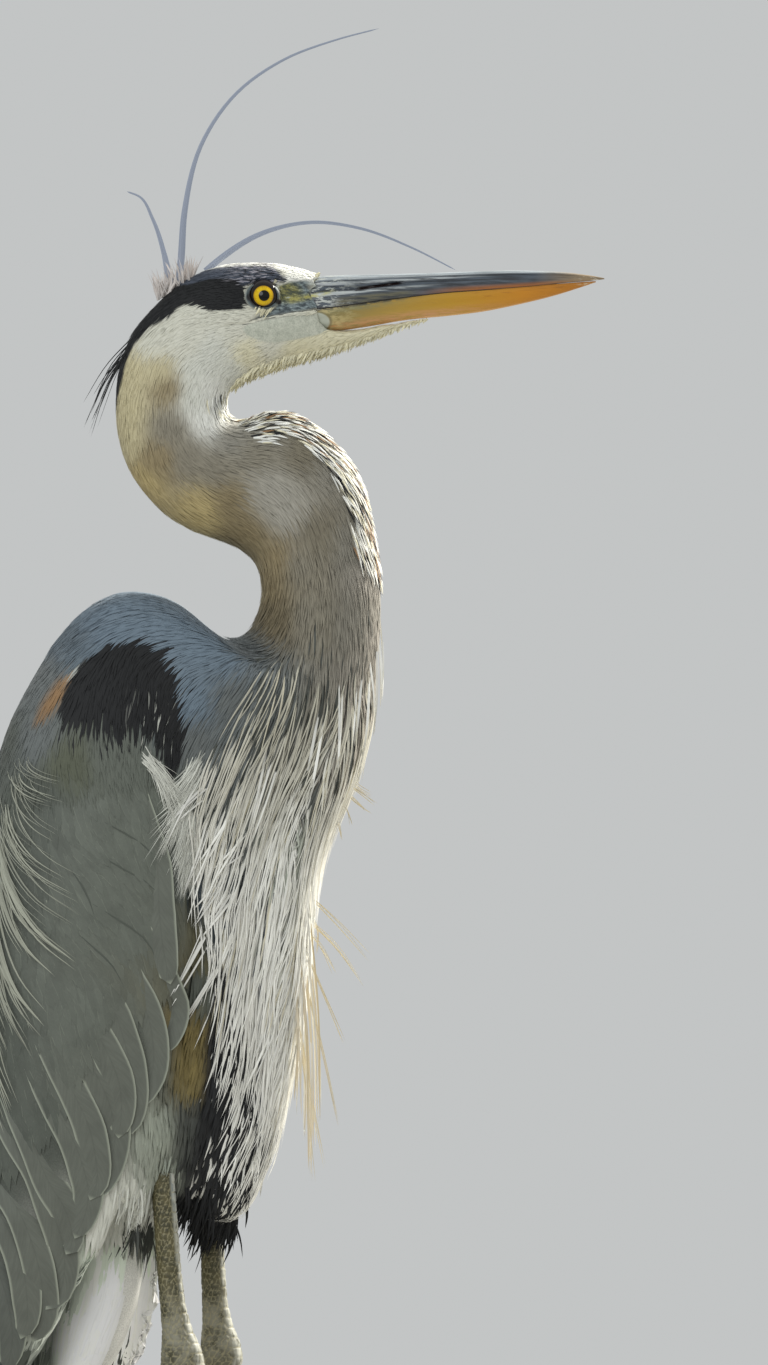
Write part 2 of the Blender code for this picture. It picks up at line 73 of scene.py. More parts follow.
MM = 0.001
BILL_TIP = 215.5  # mm before the ankles
ankle_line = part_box("bill_upper")[1].x - BILL_TIP * MM  # x is 0 here in the sizes below, all in mm
FLESH = (
    "head", "neck_upper", "neck_bend", "neck_lower", "trunk", "wing_left", "wing_right",
    "breast_plumes", "belly_feathers", "undertail", "thigh_left", "thigh_right",
)


def to_mm(metres):
    return np.asarray(metres, float).reshape(-1, 3) / MM - (ankle_line / MM, 0, 0)


def to_metres(mm):
    return (np.asarray(mm, float) + (ankle_line / MM, 0, 0)) * MM


def into_scene(name, data):
    """A new object of that mesh, light or camera, in the scene."""
    made = bpy.data.objects.new(name, data)
    bpy.context.scene.collection.objects.link(made)
    return made


def one_shell(name, nodes, grown, voxel, reshape=None):
    """The solids grown together, as one even mesh of small squares."""
    whole = bmesh.new()
    for node in nodes:
        part = bmesh.new()
        part.from_mesh(frame["nodes"][node].data)
        bmesh.ops.remove_doubles(part, verts=part.verts, dist=0.02 * MM)
        if reshape:
            reshape(node, part)
        part.normal_update()
        for vertex in part.verts:
            vertex.co += vertex.normal * grown * MM
        grown_part = bpy.data.meshes.new(node + "_grown")
        part.to_mesh(grown_part)
        part.free()
        whole.from_mesh(grown_part)
        bpy.data.meshes.remove(grown_part)
    mesh = bpy.data.meshes.new(name)
    whole.to_mesh(mesh)
    whole.free()
    shell = into_scene(name, mesh)
    remesh = shell.modifiers.new("even", "REMESH")
    remesh.mode = "VOXEL"
    remesh.voxel_size = voxel * MM
    bpy.context.view_layer.update()
    graph = bpy.context.evaluated_depsgraph_get()
    shell.data = bpy.data.meshes.new_from_object(shell.evaluated_get(graph))
    shell.modifiers.clear()
    return shell


def vertex_table(mesh, field="co"):
    """A row of three numbers for each vertex: its place, or its normal."""
    found = np.empty(len(mesh.vertices) * 3, np.float32)
    mesh.vertices.foreach_get(field, found)
    return found.reshape(-1, 3).astype(float)


def set_points(mesh, points):
    mesh.vertices.foreach_set("co", to_metres(points).astype(np.float32).ravel())
    mesh.update()


def relax(mesh, points, rounds, share=0.5):
    """Draws every point towards the middle of its neighbours."""
    edges = np.empty(len(mesh.edges) * 2, np.int32)
    mesh.edges.foreach_get("vertices", edges)
    a, b = edges.reshape(-1, 2).T
    ends, others = np.concatenate((a, b)), np.concatenate((b, a))
    count = np.maximum(np.bincount(ends, minlength=len(points)), 1)[:, None]
    for _ in range(rounds):
        sums = [np.bincount(ends, points[others, k], len(points)) for k in range(3)]
        points = points + share * (np.stack(sums, 1) / count - points)
    return points


def step(x, low, high):
    """0 below low, 1 above high, and a smooth rise between."""
    t = np.clip((x - low) / (high - low), 0, 1)
    return t * t * (3 - 2 * t)


BATCH = 20000  # points blended at a time


def blend_from(spots, values, points, power=3.0, soft=4.0):
    """Values given at a few spots of the side view (x, z), blended over the points between them."""
    spots, values = np.asarray(spots, float), np.asarray(values, float)
    found = np.empty((len(points), values.shape[1]))
    for k in range(0, len(points), BATCH):
        some = points[k : k + BATCH]
        far = (some[:, None, 0] - spots[None, :, 0]) ** 2
        far += (some[:, None, 2] - spots[None, :, 1]) ** 2 + soft * soft
        weight = far ** (-power / 2)
        found[k : k + BATCH] = weight @ values / weight.sum(1)[:, None]
    return found


def inside(outline, points):
    """How far each point lies inside an outline of the side view, in mm; below 0 outside."""
    x, z = points[:, 0], points[:, 2]
    corners = np.asarray(outline, float)
    nearest = np.full(len(points), 1e9)
    within = np.zeros(len(points), bool)
    for (ax, az), (bx, bz) in zip(corners, np.roll(corners, -1, 0)):
        dx, dz = bx - ax, bz - az
        t = np.clip(((x - ax) * dx + (z - az) * dz) / (dx * dx + dz * dz), 0, 1)
        nearest = np.minimum(nearest, np.hypot(x - ax - t * dx, z - az - t * dz))
        crosses = (az > z) != (bz > z)
        if az != bz:
            within ^= crosses & (x < ax + (z - az) / (bz - az) * dx)
    return np.where(within, nearest, -nearest)


# How deep the skin lies under the tips of the coat, at spots of the side view.
COAT_DEPTH = [
    (70, 730, 0.5), (60, 712, 0.5), (40, 712, 0.8), (66, 742, 1.0), (40, 746, 1.4),
    (20, 745, 1.8), (0, 738, 2.0), (-18, 725, 2.6), (10, 712, 1.6), (20, 690, 1.8),
    (80, 706, 1.2), (110, 716, 0.8), (0, 700, 2.2), (-30, 690, 2.8), (-30, 650, 3.0),
    (10, 640, 3.0), (50, 640, 3.0), (70, 600, 3.2), (65, 560, 3.8), (70, 520, 4.6),
    (30, 520, 4.2), (-26, 560, 3.4), (-80, 530, 3.4), (-60, 450, 3.0), (-100, 430, 3.2),
    (60, 440, 5.0), (40, 360, 5.0), (10, 420, 4.5), (0, 350, 4.5), (-60, 350, 2.6),
    (90, 500, 4.0), (78, 460, 4.0), (60, 360, 4.0), (50, 320, 4.0), (36, 276, 3.0),
    (-60, 280, 2.2), (-80, 200, 1.8), (20, 290, 5.0), (-20, 290, 4.0), (-45, 210, 4.0),
]

NEAR_THIGH_END = (262, 280)  # the near thigh's feathers draw back behind the leg between these
NEAR_THIGH_X = -38  # and in towards this line


def draw_back_thigh(node, part):
    """The near thigh's lower end lies behind the bare leg."""
    if node != "thigh_right":
        return
    for vertex in part.verts:
        x, _, z = to_mm(vertex.co)[0]
        share = float(step(z, *NEAR_THIGH_END))
        drawn_in = NEAR_THIGH_X + (x - NEAR_THIGH_X) * (0.45 + 0.55 * share)
        vertex.co.x += (drawn_in - x) * MM


skin = one_shell("skin", FLESH, grown=0.5, voxel=2.7, reshape=draw_back_thigh)
points = relax(skin.data, to_mm(vertex_table(skin.data)), rounds=14)
set_points(skin.data, points)

FACE_BOX = ((4, 84), (696, 750))  # x and z between which the skin is finer
FACE_BOX_FINE = ((12, 78), (704, 742))  # and finer again


def finer(obj, low_high):
    """Cuts each square of the skin between those x and z in four."""
    (x0, x1), (z0, z1) = low_high
    bm = bmesh.new()
    bm.from_mesh(obj.data)
    x0, x1 = x0 * MM + ankle_line, x1 * MM + ankle_line
    chosen = [
        edge
        for edge in bm.edges
        if all(x0 < v.co.x < x1 and z0 * MM < v.co.z < z1 * MM for v in edge.verts)
    ]
    bmesh.ops.subdivide_edges(bm, edges=chosen, cuts=1, use_grid_fill=True, smooth=0.6)
    bm.to_mesh(obj.data)
    bm.free()


finer(skin, FACE_BOX)
finer(skin, FACE_BOX_FINE)
points = relax(skin.data, to_mm(vertex_table(skin.data)), rounds=3)
set_points(skin.data, points)

# The skin sinks to the roots of the coat, but never past three tenths of the way to its far side.
ROOM_SHARE = 0.3
normals = vertex_table(skin.data, "normal")
tree = BVHTree.FromPolygons(
    [Vector(p) for p in points], [list(f.vertices) for f in skin.data.polygons]
)
depth = blend_from([s[:2] for s in COAT_DEPTH], [[s[2]] for s in COAT_DEPTH], points)[:, 0]
room = np.array(
    [
        tree.ray_cast(Vector(p - n * 0.05), Vector(-n))[3] or 100.0
        for p, n in zip(points, normals)
    ]
)
depth = np.minimum(depth, ROOM_SHARE * room)
depth = relax(skin.data, np.repeat(depth[:, None], 3, 1), rounds=6)[:, :1]
for _ in range(3):
    points = points - normals * depth / 3
    set_points(skin.data, points)
    normals = vertex_table(skin.data, "normal")
points = relax(skin.data, points, rounds=2)

# The bare face: an eye opening with a lid round it, the hollow in front of the eye, the brow over
# it, and the corner of the mouth.
EYE_X, EYE_Z, EYE_DEEP, EYE_RADIUS = 38.3, 729.7, 11.4, 8.6
LID_LONG, LID_HIGH = 7.1, 5.9  # half the eye's opening
LORES = [
    (46, 735), (52, 737.4), (60, 738), (74, 737), (79, 733), (80, 725), (70, 723.4), (56, 721.4),
    (44, 719.2), (32, 717.0), (38, 721), (44, 723.5), (46.5, 727),
]
MOUTH_LINE = [(17, 713.8), (28, 715), (37, 717.6), (53, 720.6), (66, 722.2), (80, 724.4)]


def from_line(line, points):
    """How far each point lies from a line of the side view, in mm."""
    x, z = points[:, 0], points[:, 2]
    nearest = np.full(len(points), 1e9)
    for (ax, az), (bx, bz) in zip(line, line[1:]):
        dx, dz = bx - ax, bz - az
        t = np.clip(((x - ax) * dx + (z - az) * dz) / (dx * dx + dz * dz), 0, 1)
        nearest = np.minimum(nearest, np.hypot(x - ax - t * dx, z - az - t * dz))
    return nearest


side = np.sign(points[:, 1])
flank = step(np.abs(points[:, 1]), 5, 9)  # 0 along the middle of the head, 1 on its cheeks
dx, dz = points[:, 0] - EYE_X, points[:, 2] - EYE_Z
LID_TILT = 0.10  # radians, the rear corner higher
along = dx * math.cos(LID_TILT) - dz * math.sin(LID_TILT)
up = dz * math.cos(LID_TILT) + dx * math.sin(LID_TILT)
ring = np.hypot(along / LID_LONG, up / LID_HIGH)
on_ball = np.hypot(dx, dz) * np.minimum(1.0, 1.06 / np.maximum(ring, 0.01))
ball = EYE_DEEP + np.sqrt(EYE_RADIUS**2 - on_ball**2)
outward = np.zeros(len(points))
outward -= 1.9 * step(inside(LORES, points), -2.0, 5.0) * step(points[:, 0], 84, 64)
outward += 1.1 * np.exp(-((ring - 1.55) / 0.28) ** 2) * step(up, 0.0, 5.0)
outward += 0.5 * np.exp(-((ring - 1.5) / 0.25) ** 2) * step(-up, -1.0, 4.0)
outward -= 0.9 * np.exp(-((from_line(MOUTH_LINE, points) / 0.8) ** 2)) * step(points[:, 0], 14, 22)
deep_y = np.abs(points[:, 1]) + outward * flank
lid = np.where(ring < 1.0, ball - 1.6, ball + 0.5)
near_eye = step(ring, 1.45, 1.1) * flank
deep_y += (lid - deep_y) * near_eye
points[:, 1] = np.where(flank > 0, side * deep_y, points[:, 1])
set_points(skin.data, points)

# Feather colours, as they look in soft daylight; gap and olive, and shade in some of its uses, serve as
# painted shade.
PALETTE = {
    "cream": (200, 190, 152), "straw": (190, 172, 122), "fawn": (146, 131, 98),
    "taupe": (124, 117, 99), "umber": (116, 105, 80), "stone": (138, 134, 122),
    "snow": (238, 238, 230), "mist": (216, 217, 206), "cheek": (216, 215, 200),
    "chin": (226, 220, 188), "bluish": (110, 126, 139), "slate": (96, 109, 118),
    "lead": (106, 111, 110), "ash": (82, 87, 79), "moss": (87, 91, 74), "pewter": (98, 103, 94),
    "cloud": (160, 166, 152), "silver": (160, 154, 143), "pale": (206, 205, 194),
    "dove": (136, 130, 114), "pearl": (164, 160, 148), "buff": (138, 124, 92),
    "frost": (242, 241, 233), "ink": (14, 16, 18), "crown": (72, 79, 92), "ivory": (222, 216, 188),
    "rust": (160, 116, 60), "ochre": (122, 108, 62), "sienna": (150, 116, 80), "gap": (44, 56, 62),
    "olive": (92, 88, 62), "shade": (70, 73, 68),
}


def linear(name_or_rgb):
    """The linear colour of a name in the palette, or of red, green and blue out of 255."""
    rgb = PALETTE.get(name_or_rgb, name_or_rgb) if isinstance(name_or_rgb, str) else name_or_rgb
    rgb = np.asarray(rgb, float) / 255
    return np.where(rgb <= 0.04045, rgb / 12.92, ((rgb + 0.055) / 1.055) ** 2.4)


# Where the coat has which ground colour, at spots of the side view. A few spots are painted shade instead:
# gap and olive where the wing's front edge meets the breast, and shade and ink at (0, 302), (0, 280) and
# (-3, 262) between the near leg and the belly.
COLOUR_SPOTS = [
    (-30, 690, "cream"), (-36, 655, "cream"), (-26, 632, "straw"), (-34, 672, "cream"),
    (-16, 690, "cream"), (-12, 682, "fawn"), (-10, 660, "dove"), (-2, 645, "dove"), (-16, 645, "fawn"),
    (13, 680, "snow"), (15, 668, "snow"), (10, 668, "snow"), (12, 700, "mist"), (4, 676, "mist"),
    (-4, 704, "cheek"), (-18, 706, "cheek"), (2, 690, "mist"), (20, 622, "buff"), (28, 604, "buff"),
    (6, 618, "straw"), (14, 640, "dove"), (36, 648, "dove"), (42, 628, "pearl"), (50, 618, "pearl"),
    (60, 648, "taupe"), (40, 660, "stone"), (20, 658, "stone"), (74, 642, "stone"), (46, 592, "fawn"),
    (37, 578, "fawn"), (66, 606, "taupe"), (56, 590, "dove"), (86, 600, "stone"), (96, 590, "silver"),
    (42, 562, "umber"), (65, 562, "dove"), (88, 560, "stone"), (98, 556, "silver"), (28, 546, "lead"),
    (20, 540, "bluish"), (22, 520, "lead"), (48, 520, "lead"), (68, 520, "stone"), (85, 520, "silver"),
    (20, 480, "lead"), (60, 480, "stone"), (80, 480, "silver"), (50, 440, "cloud"), (68, 440, "pale"),
    (50, 400, "mist"), (60, 390, "frost"), (50, 350, "frost"), (40, 380, "mist"), (22, 440, "lead"),
    (12, 422, "gap"), (15, 402, "gap"), (0, 404, "olive"), (2, 388, "olive"), (-10, 568, "bluish"),
    (-30, 572, "bluish"), (-48, 562, "bluish"), (5, 548, "bluish"), (2, 518, "bluish"),
    (4, 498, "lead"), (-62, 552, "slate"), (-78, 530, "lead"), (-95, 500, "ash"), (-80, 500, "lead"),
    (-40, 492, "pewter"), (-62, 487, "moss"), (-20, 475, "pewter"), (-50, 460, "pewter"),
    (-76, 470, "ash"), (-30, 440, "pewter"), (-55, 420, "pewter"), (-25, 405, "pewter"),
    (-5, 405, "ash"), (-90, 430, "ash"), (-115, 430, "ash"), (-60, 360, "pewter"),
    (-30, 350, "pewter"), (-100, 350, "ash"), (-45, 300, "pewter"), (-75, 300, "ash"),
    (-110, 280, "ash"), (-75, 220, "ash"), (-95, 170, "shade"), (-115, 120, "shade"), (4, 375, "ash"),
    (1, 350, "ochre"), (3, 330, "ochre"), (-16, 300, "cloud"), (-12, 275, "cloud"), (-28, 262, "mist"),
    (-20, 330, "pewter"), (0, 302, "shade"), (0, 280, "ink"), (-3, 262, "ink"), (20, 340, "ink"),
    (10, 300, "ink"), (14, 270, "ink"), (34, 300, "ink"), (-36, 238, "mist"), (-40, 215, "frost"),
    (-55, 190, "frost"), (-66, 150, "frost"), (20, 250, "ink"), (24, 712, "cheek"), (0, 714, "cheek"),
    (30, 700, "chin"), (20, 690, "mist"), (55, 701, "chin"), (80, 707, "chin"), (110, 715, "chin"),
    (48, 714, "cheek"), (40, 705, "cheek"),
]
BLACK_BAND = [
    (28, 722.6), (18, 722.0), (11, 721.6), (2.6, 724.3), (-5, 724.5), (-10.4, 718.5), (-20, 714.6),
    (-28.5, 705.5), (-33.2, 695.9), (-35.0, 685.5), (-36.6, 672), (-60, 664), (-60, 700),
    (-34, 740), (-14, 740), (-8.7, 736.7), (-1, 735.8), (11.3, 739.0), (22, 738.6), (27, 735.5),
    (28.5, 730),
]
CROWN_SIDE = [
    (27, 733.9), (22, 737.0), (11.3, 737.4), (-1, 734.2), (-8.7, 735.1), (-12, 732), (-10, 743),
    (2, 748), (16, 750), (32, 750), (42, 747), (50, 738), (44, 736), (36, 737.4),
]
SHOULDER_PATCH = [
    (-31, 550), (-20, 549), (-13, 543), (-7, 532), (-4, 518), (-2, 503), (-4, 490), (-7, 481),
    (-11, 488), (-17, 500), (-26, 505), (-34, 501), (-45, 503), (-56, 506), (-65, 507),
    (-65, 520), (-62, 529), (-54, 540), (-43, 547),
]
WHITE_EDGE = [(-65, 529.5), (-59, 536), (-53, 540.5), (-51.5, 536), (-57, 531), (-61, 528)]
RUST_SPOT = [(-66, 532), (-61, 530), (-64, 520), (-72, 512), (-79, 508), (-76, 518)]
JAW_PATCH = [
    (27, 712.4), (30, 714.6), (40, 717.4), (54, 719.6), (66, 720.6), (71.4, 718.6), (73.6, 714.6),
    (72, 711.2), (64, 709), (54, 706.8), (44, 705.2), (36, 706.6), (30, 709),
]
FLANKS = (22, 30)  # the flanks' markings begin this far from the middle of the back


def markings(points):
    """The bird's own colour at each point, on its skin and in its coat alike, with painted shade at a few
    of the colour spots.
    """
    found = blend_from(
        [spot[:2] for spot in COLOUR_SPOTS],
        [linear(spot[2]) for spot in COLOUR_SPOTS],
        points, 5.0, 7.0,
    )

    def lay(mask, colour):
        nonlocal found
        found = found + (linear(colour) - found) * mask[:, None]

    x, y, z = points.T
    head = step(z, 690, 700)
    lay(step(inside(CROWN_SIDE, points), -0.6, 0.8) * head, "crown")
    top = step(z - 0.35 * np.abs(y) - 739.2 + 0.3 * np.maximum(x - 38, 0), 3.0, 5.2)
    lay(top * step(x, -10, 2) * step(x, 84, 76), "snow")
    forehead = step(x, 47, 52) * step(z, 735.6, 738.2)
    lay(forehead * step(x, 84, 78), "snow")
    nape = np.interp(z, (664, 704), (0.5, 15.0)) + 40 * step(x, -30, -26)
    band = step(inside(BLACK_BAND, points), -0.5, 0.6) * step(z, 662, 668)
    lay(band * step(np.abs(y) - nape, 1.2, -1.2), "ink")
    flanks = step(np.abs(y), *FLANKS)
    lay(step(inside(SHOULDER_PATCH, points), -1.0, 1.5) * flanks, "ink")
    lay(0.6 * step(inside(WHITE_EDGE, points), -0.8, 1.2) * flanks, "mist")
    lay(0.7 * step(inside(RUST_SPOT, points), -3.0, 3.0) * flanks, "rust")
    return found


# The skin's own unwrap, on which every feather keeps a small patch at its root.
def unwrap(obj, name="OFBake"):
    bpy.context.view_layer.objects.active = obj
    obj.select_set(True)
    bpy.ops.object.mode_set(mode="EDIT")
    bpy.ops.mesh.select_all(action="SELECT")
    bpy.ops.uv.smart_project(angle_limit=math.radians(66), island_margin=0.002)
    bpy.ops.object.mode_set(mode="OBJECT")
    obj.select_set(False)
    obj.data.uv_layers.active.name = name


triangulate = bmesh.new()
triangulate.from_mesh(skin.data)
bmesh.ops.triangulate(triangulate, faces=triangulate.faces)
triangulate.to_mesh(skin.data)
triangulate.free()
unwrap(skin)
skin.data.shade_smooth()


class Value:
    """A socket in a material's nodes, which takes part in sums."""

    def __init__(self, tree, socket=None):
        self.tree, self.socket = tree, socket

    def node(self, kind, settings=None, inputs=None, output=0):
        made = self.tree.nodes.new(kind)
        for name, setting in (settings or {}).items():
            if name == "stops":
                ramp = made.color_ramp
                while len(ramp.elements) < len(setting):
                    ramp.elements.new(0.5)
                for stop, (at, colour) in zip(ramp.elements, setting):
                    stop.position, stop.color = at, (*colour, 1.0)
            else:
                setattr(made, name, setting)
        for key, given in (inputs or {}).items():
            if isinstance(given, Value):
                self.tree.links.new(given.socket, made.inputs[key])
            else:
                made.inputs[key].default_value = given
        return Value(self.tree, made.outputs[output])

    def math(self, operation, *others):
        inputs = dict(enumerate((self, *others)))
        return self.node("ShaderNodeMath", {"operation": operation}, inputs)

    def __add__(self, other):
        return self.math("ADD", other)

    def __radd__(self, other):
        return self.math("ADD", other)

    def __sub__(self, other):
        return self.math("SUBTRACT", other)

    def __rsub__(self, other):
        return (self * -1.0) + other

    def __mul__(self, other):
        return self.math("MULTIPLY", other)

    def __rmul__(self, other):
        return self.math("MULTIPLY", other)

    def __pow__(self, other):
        return self.math("POWER", other)

    def between(self, low, high):
        """0 below low, 1 above high, and a smooth rise between."""
        settings = {"interpolation_type": "SMOOTHSTEP"}
        return self.node("ShaderNodeMapRange", settings, {0: self, 1: low, 2: high})

    def mix(self, colour, other, kind="MIX"):
        """This value as the factor between two colours."""
        settings = {"data_type": "RGBA", "blend_type": kind}
        return self.node("ShaderNodeMix", settings, {0: self, 6: colour, 7: other}, output=2)

    def attribute(self, name, output=2):
        return self.node("ShaderNodeAttribute", {"attribute_name": name}, output=output)

    def place(self, scale=(1, 1, 1), turn=(0, 0, 0)):
        """Object coordinates, scaled and turned."""
        coordinates = self.node("ShaderNodeTexCoord", output="Object")
        inputs = {"Vector": coordinates, "Scale": scale, "Rotation": turn}
        return self.node("ShaderNodeMapping", None, inputs)

    def noise(self, where, scale, detail=2.0, rough=0.5):
        inputs = {"Vector": where, "Scale": scale, "Detail": detail, "Roughness": rough}
        return self.node("ShaderNodeTexNoise", None, inputs)

    def bump(self, height, strength, distance):
        inputs = {"Height": height, "Strength": strength, "Distance": distance}
        return self.node("ShaderNodeBump", None, inputs)


def new_finish(name, roughness=0.6, **constants):
    """A material and a first Value to build its nodes with; constants are sockets of its shader."""
    material = bpy.data.materials.new(name)
    material.use_nodes = True
    shader = material.node_tree.nodes["Principled BSDF"]
    shader.inputs["Roughness"].default_value = roughness
    for socket, value in constants.items():
        shader.inputs[socket.replace("_", " ")].default_value = value
    return material, Value(material.node_tree)


def connect(material, **sockets):
    shader = material.node_tree.nodes["Principled BSDF"]
    for socket, value in sockets.items():
        material.node_tree.links.new(value.socket, shader.inputs[socket.replace("_", " ")])


def paint(mesh, name, colours):
    """One linear colour at each vertex."""
    layer = mesh.attributes.new(name, "FLOAT_COLOR", "POINT")
    rgba = np.ones((len(colours), 4), np.float32)
    rgba[:, :3] = colours
    layer.data.foreach_set("color", rgba.ravel())


def measure(mesh, name, values):
    """One number at each vertex."""
    layer = mesh.attributes.new(name, "FLOAT", "POINT")
    layer.data.foreach_set("value", np.asarray(values, np.float32).ravel())


points = to_mm(vertex_table(skin.data))
normals = vertex_table(skin.data, "normal")
bare = step(inside(JAW_PATCH, points), -0.4, 0.6)
cheeks = step(np.abs(points[:, 1]), 5, 8)
from_eye = np.hypot(
    (points[:, 0] - EYE_X + 0.4) / (LID_LONG + 1.1), (points[:, 2] - EYE_Z) / (LID_HIGH + 0.9)
)
front_corner = step(from_line([(44, 727.8), (46.4, 726.4)], points), 1.8, 0.8)
rear_corner = step(from_line([(33.4, 729.6), (31.4, 728.9)], points), 2.6, 1.4)
rim = np.maximum(step(from_eye, 0.99, 0.86), np.maximum(front_corner, rear_corner)) * cheeks
hue = markings(points)
hue += (linear((92, 104, 106)) - hue) * (step(from_eye, 1.25, 1.0) * cheeks)[:, None]
paint(skin.data, "hue", hue)
measure(skin.data, "jaw", bare)
measure(skin.data, "lores", step(inside(LORES, points), -0.6, 1.0) * cheeks)
by_the_eye = np.hypot((points[:, 0] - 50.5) / 8.0, (points[:, 2] - 731.5) / 5.5)
measure(skin.data, "brow_green", step(by_the_eye, 1.3, 0.6))
yellow_line = from_line([(53, 727.6), (58, 728.4), (63, 729.8), (72, 731.8)], points)
measure(skin.data, "yellow_streak", step(yellow_line, 2.6, 0.2))
measure(skin.data, "rim", rim)
gape = np.exp(-((from_line(MOUTH_LINE, points) / 0.7) ** 2)) * step(points[:, 0], 15, 24)
measure(skin.data, "gape", gape)


def shade_of(*rgb):
    return (*linear(rgb), 1)


skin_finish, v = new_finish("bird_skin", roughness=0.62)
place = v.place()
fine = v.noise(place, 1300.0, 3.0, 0.6)
blotch = v.noise(place, 330.0, 3.0, 0.65)
wrinkle = v.noise(v.place(scale=(0.3, 1.0, 1.0), turn=(0, math.radians(-8), 0)), 620.0, 4.0, 0.65)
base = v.attribute("hue", output=0)
lores_low = wrinkle.between(0.38, 0.6).mix(shade_of(64, 74, 78), shade_of(136, 150, 152))
lores_top = wrinkle.between(0.4, 0.62).mix(shade_of(76, 82, 62), shade_of(150, 146, 84))
lores_all = v.attribute("brow_green").mix(lores_low, lores_top)
lores_all = (wrinkle.between(0.56, 0.66) * 0.8).mix(lores_all, shade_of(176, 186, 182))
lores_all = ((1.0 - blotch.between(0.30, 0.42)) * 0.8).mix(lores_all, shade_of(38, 44, 46))
yellow = v.attribute("yellow_streak") * wrinkle.between(0.32, 0.6)
lores_all = yellow.mix(lores_all, shade_of(178, 172, 96))
jaw_tone = blotch.between(0.3, 0.75).mix(shade_of(190, 194, 178), shade_of(216, 218, 202))
jaw_tone = ((1.0 - fine.between(0.34, 0.44)) * 0.3).mix(jaw_tone, shade_of(150, 154, 140))
base = v.attribute("jaw").mix(base, jaw_tone)
base = v.attribute("lores").mix(base, lores_all)
base = v.attribute("gape").mix(base, shade_of(40, 42, 40))
base = v.attribute("rim").mix(base, shade_of(22, 16, 14))
base = (fine.between(0.3, 0.7) * 0.3).mix(base, shade_of(60, 60, 56), "MULTIPLY")
height = fine * 0.5 + wrinkle * 0.5
connect(skin_finish, Base_Color=base, Normal=v.bump(height, 0.4, 0.0006))
skin.data.materials.clear()
skin.data.materials.append(skin_finish)
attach(skin, "root")
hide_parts(*FLESH)

# ---- Eyes --------------------------------------------------------------------------------------
# Two glass balls, set from inside the lids: a bright yellow iris with fine rays, a round black pupil and a
# dark rim, under a clear polished bulge.
RIGHT, LEFT = -1, 1
SIDES = ((RIGHT, "right"), (LEFT, "left"))
PUPIL, IRIS, RIM = 2.8, 5.05, 5.45  # radii
PUPIL_AHEAD = 0.35  # before the middle of the iris
CORNEA, CORNEA_HIGH = 5.52, 0.5  # radius of the clear bulge, and how far it stands out

glass, v = new_finish(
    "eye_glass", roughness=0.12, Coat_Weight=0.3, Coat_Roughness=0.02, Specular_IOR_Level=0.2
)
apart = v.node("ShaderNodeSeparateXYZ", None, {0: v.place()})
dx = apart - float(ankle_line + EYE_X * MM)
dz = Value(v.tree, apart.socket.node.outputs[2]) - EYE_Z * MM
out = (dx * dx + dz * dz) ** 0.5 * (1 / MM)
from_pupil = dx - PUPIL_AHEAD * MM
from_pupil = (from_pupil * from_pupil + dz * dz) ** 0.5 * (1 / MM)
turned = dz.math("ARCTAN2", dx)
rays = v.noise(turned.node("ShaderNodeCombineXYZ", None, {0: turned * 9.0, 1: out * 0.25}), 1.4, 3.0, 0.7)
iris = rays.between(0.3, 0.75).mix(shade_of(206, 164, 8), shade_of(238, 208, 22))
iris = ((1.0 - from_pupil.between(PUPIL, PUPIL + 0.6)) * 0.5).mix(iris, shade_of(190, 140, 6))
iris = (out.between(IRIS - 1.1, IRIS) * 0.7).mix(iris, shade_of(176, 130, 8))
eye_colour = out.between(IRIS - 0.12, RIM - 0.1).mix(iris, shade_of(20, 11, 8))
eye_colour = from_pupil.between(PUPIL - 0.1, PUPIL + 0.12).mix(shade_of(3, 3, 4), eye_colour)
connect(glass, Base_Color=eye_colour)

for side, label in SIDES:
    bm = bmesh.new()
    bmesh.ops.create_uvsphere(bm, u_segments=48, v_segments=32, radius=EYE_RADIUS * MM)
    bmesh.ops.rotate(bm, verts=bm.verts, matrix=Matrix.Rotation(math.radians(90), 3, "X"))
    for vertex in bm.verts:
        off_axis = math.hypot(vertex.co.x, vertex.co.z) / (CORNEA * MM)
        if vertex.co.y * side > 0 and off_axis < 1:
            vertex.co.y += side * CORNEA_HIGH * MM * (1 - off_axis**2) ** 2
    at = Vector((ankle_line + EYE_X * MM, side * EYE_DEEP * MM, EYE_Z * MM))
    bmesh.ops.translate(bm, verts=bm.verts, vec=at)
    mesh = bpy.data.meshes.new(f"eyeball_{label}")
    bm.to_mesh(mesh)
    bm.free()
    mesh.shade_smooth()
    mesh.materials.append(glass)
    eyeball = into_scene(f"eyeball_{label}", mesh)
    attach(eyeball, "root")
    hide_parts(f"eye_{label}")

# ---- Bill --------------------------------------------------------------------------------------
# Two long horny sheaths over bone. The upper one has a rounded ridge, a groove along each side
# that holds the slit of a nostril, and a sharp edge that closes just outside the lower one.
BILL_UPPER = [  # x, height of the ridge, height of the mouth line, half width
    (59.5, 739.2, 722.6, 7.4), (67.0, 740.2, 723.3, 8.7), (76.4, 740.7, 724.2, 9.0),
    (98.0, 741.2, 727.4, 7.9), (114.2, 741.6, 729.4, 6.9), (133.0, 742.2, 731.6, 5.9),
    (152.0, 742.9, 733.0, 5.0), (177.0, 743.1, 735.0, 3.8), (196.0, 742.2, 736.9, 2.6),
    (208.5, 740.6, 737.9, 1.4), (215.4, 739.3, 738.7, 0.25),
]
BILL_LOWER = [  # x, height of the mouth line, height of the under edge, half width
    (61.0, 721.9, 711.6, 9.2), (68.0, 722.9, 711.4, 9.5), (76.4, 723.9, 711.8, 8.9),
    (89.0, 725.8, 713.5, 7.8), (114.2, 729.2, 717.7, 6.2), (133.0, 731.4, 719.5, 5.3),
    (152.0, 732.8, 721.8, 4.4), (171.0, 734.6, 725.6, 3.4), (190.0, 736.2, 730.3, 2.3),
    (206.0, 737.4, 735.4, 0.8), (211.0, 737.7, 737.1, 0.2),
]
BILL_STEP = 1.6  # between two sections
NOSTRIL_X, NOSTRIL_UP, NOSTRIL_RISE = 86.0, 0.50, 0.12 / 26  # rear end, share of height, slope


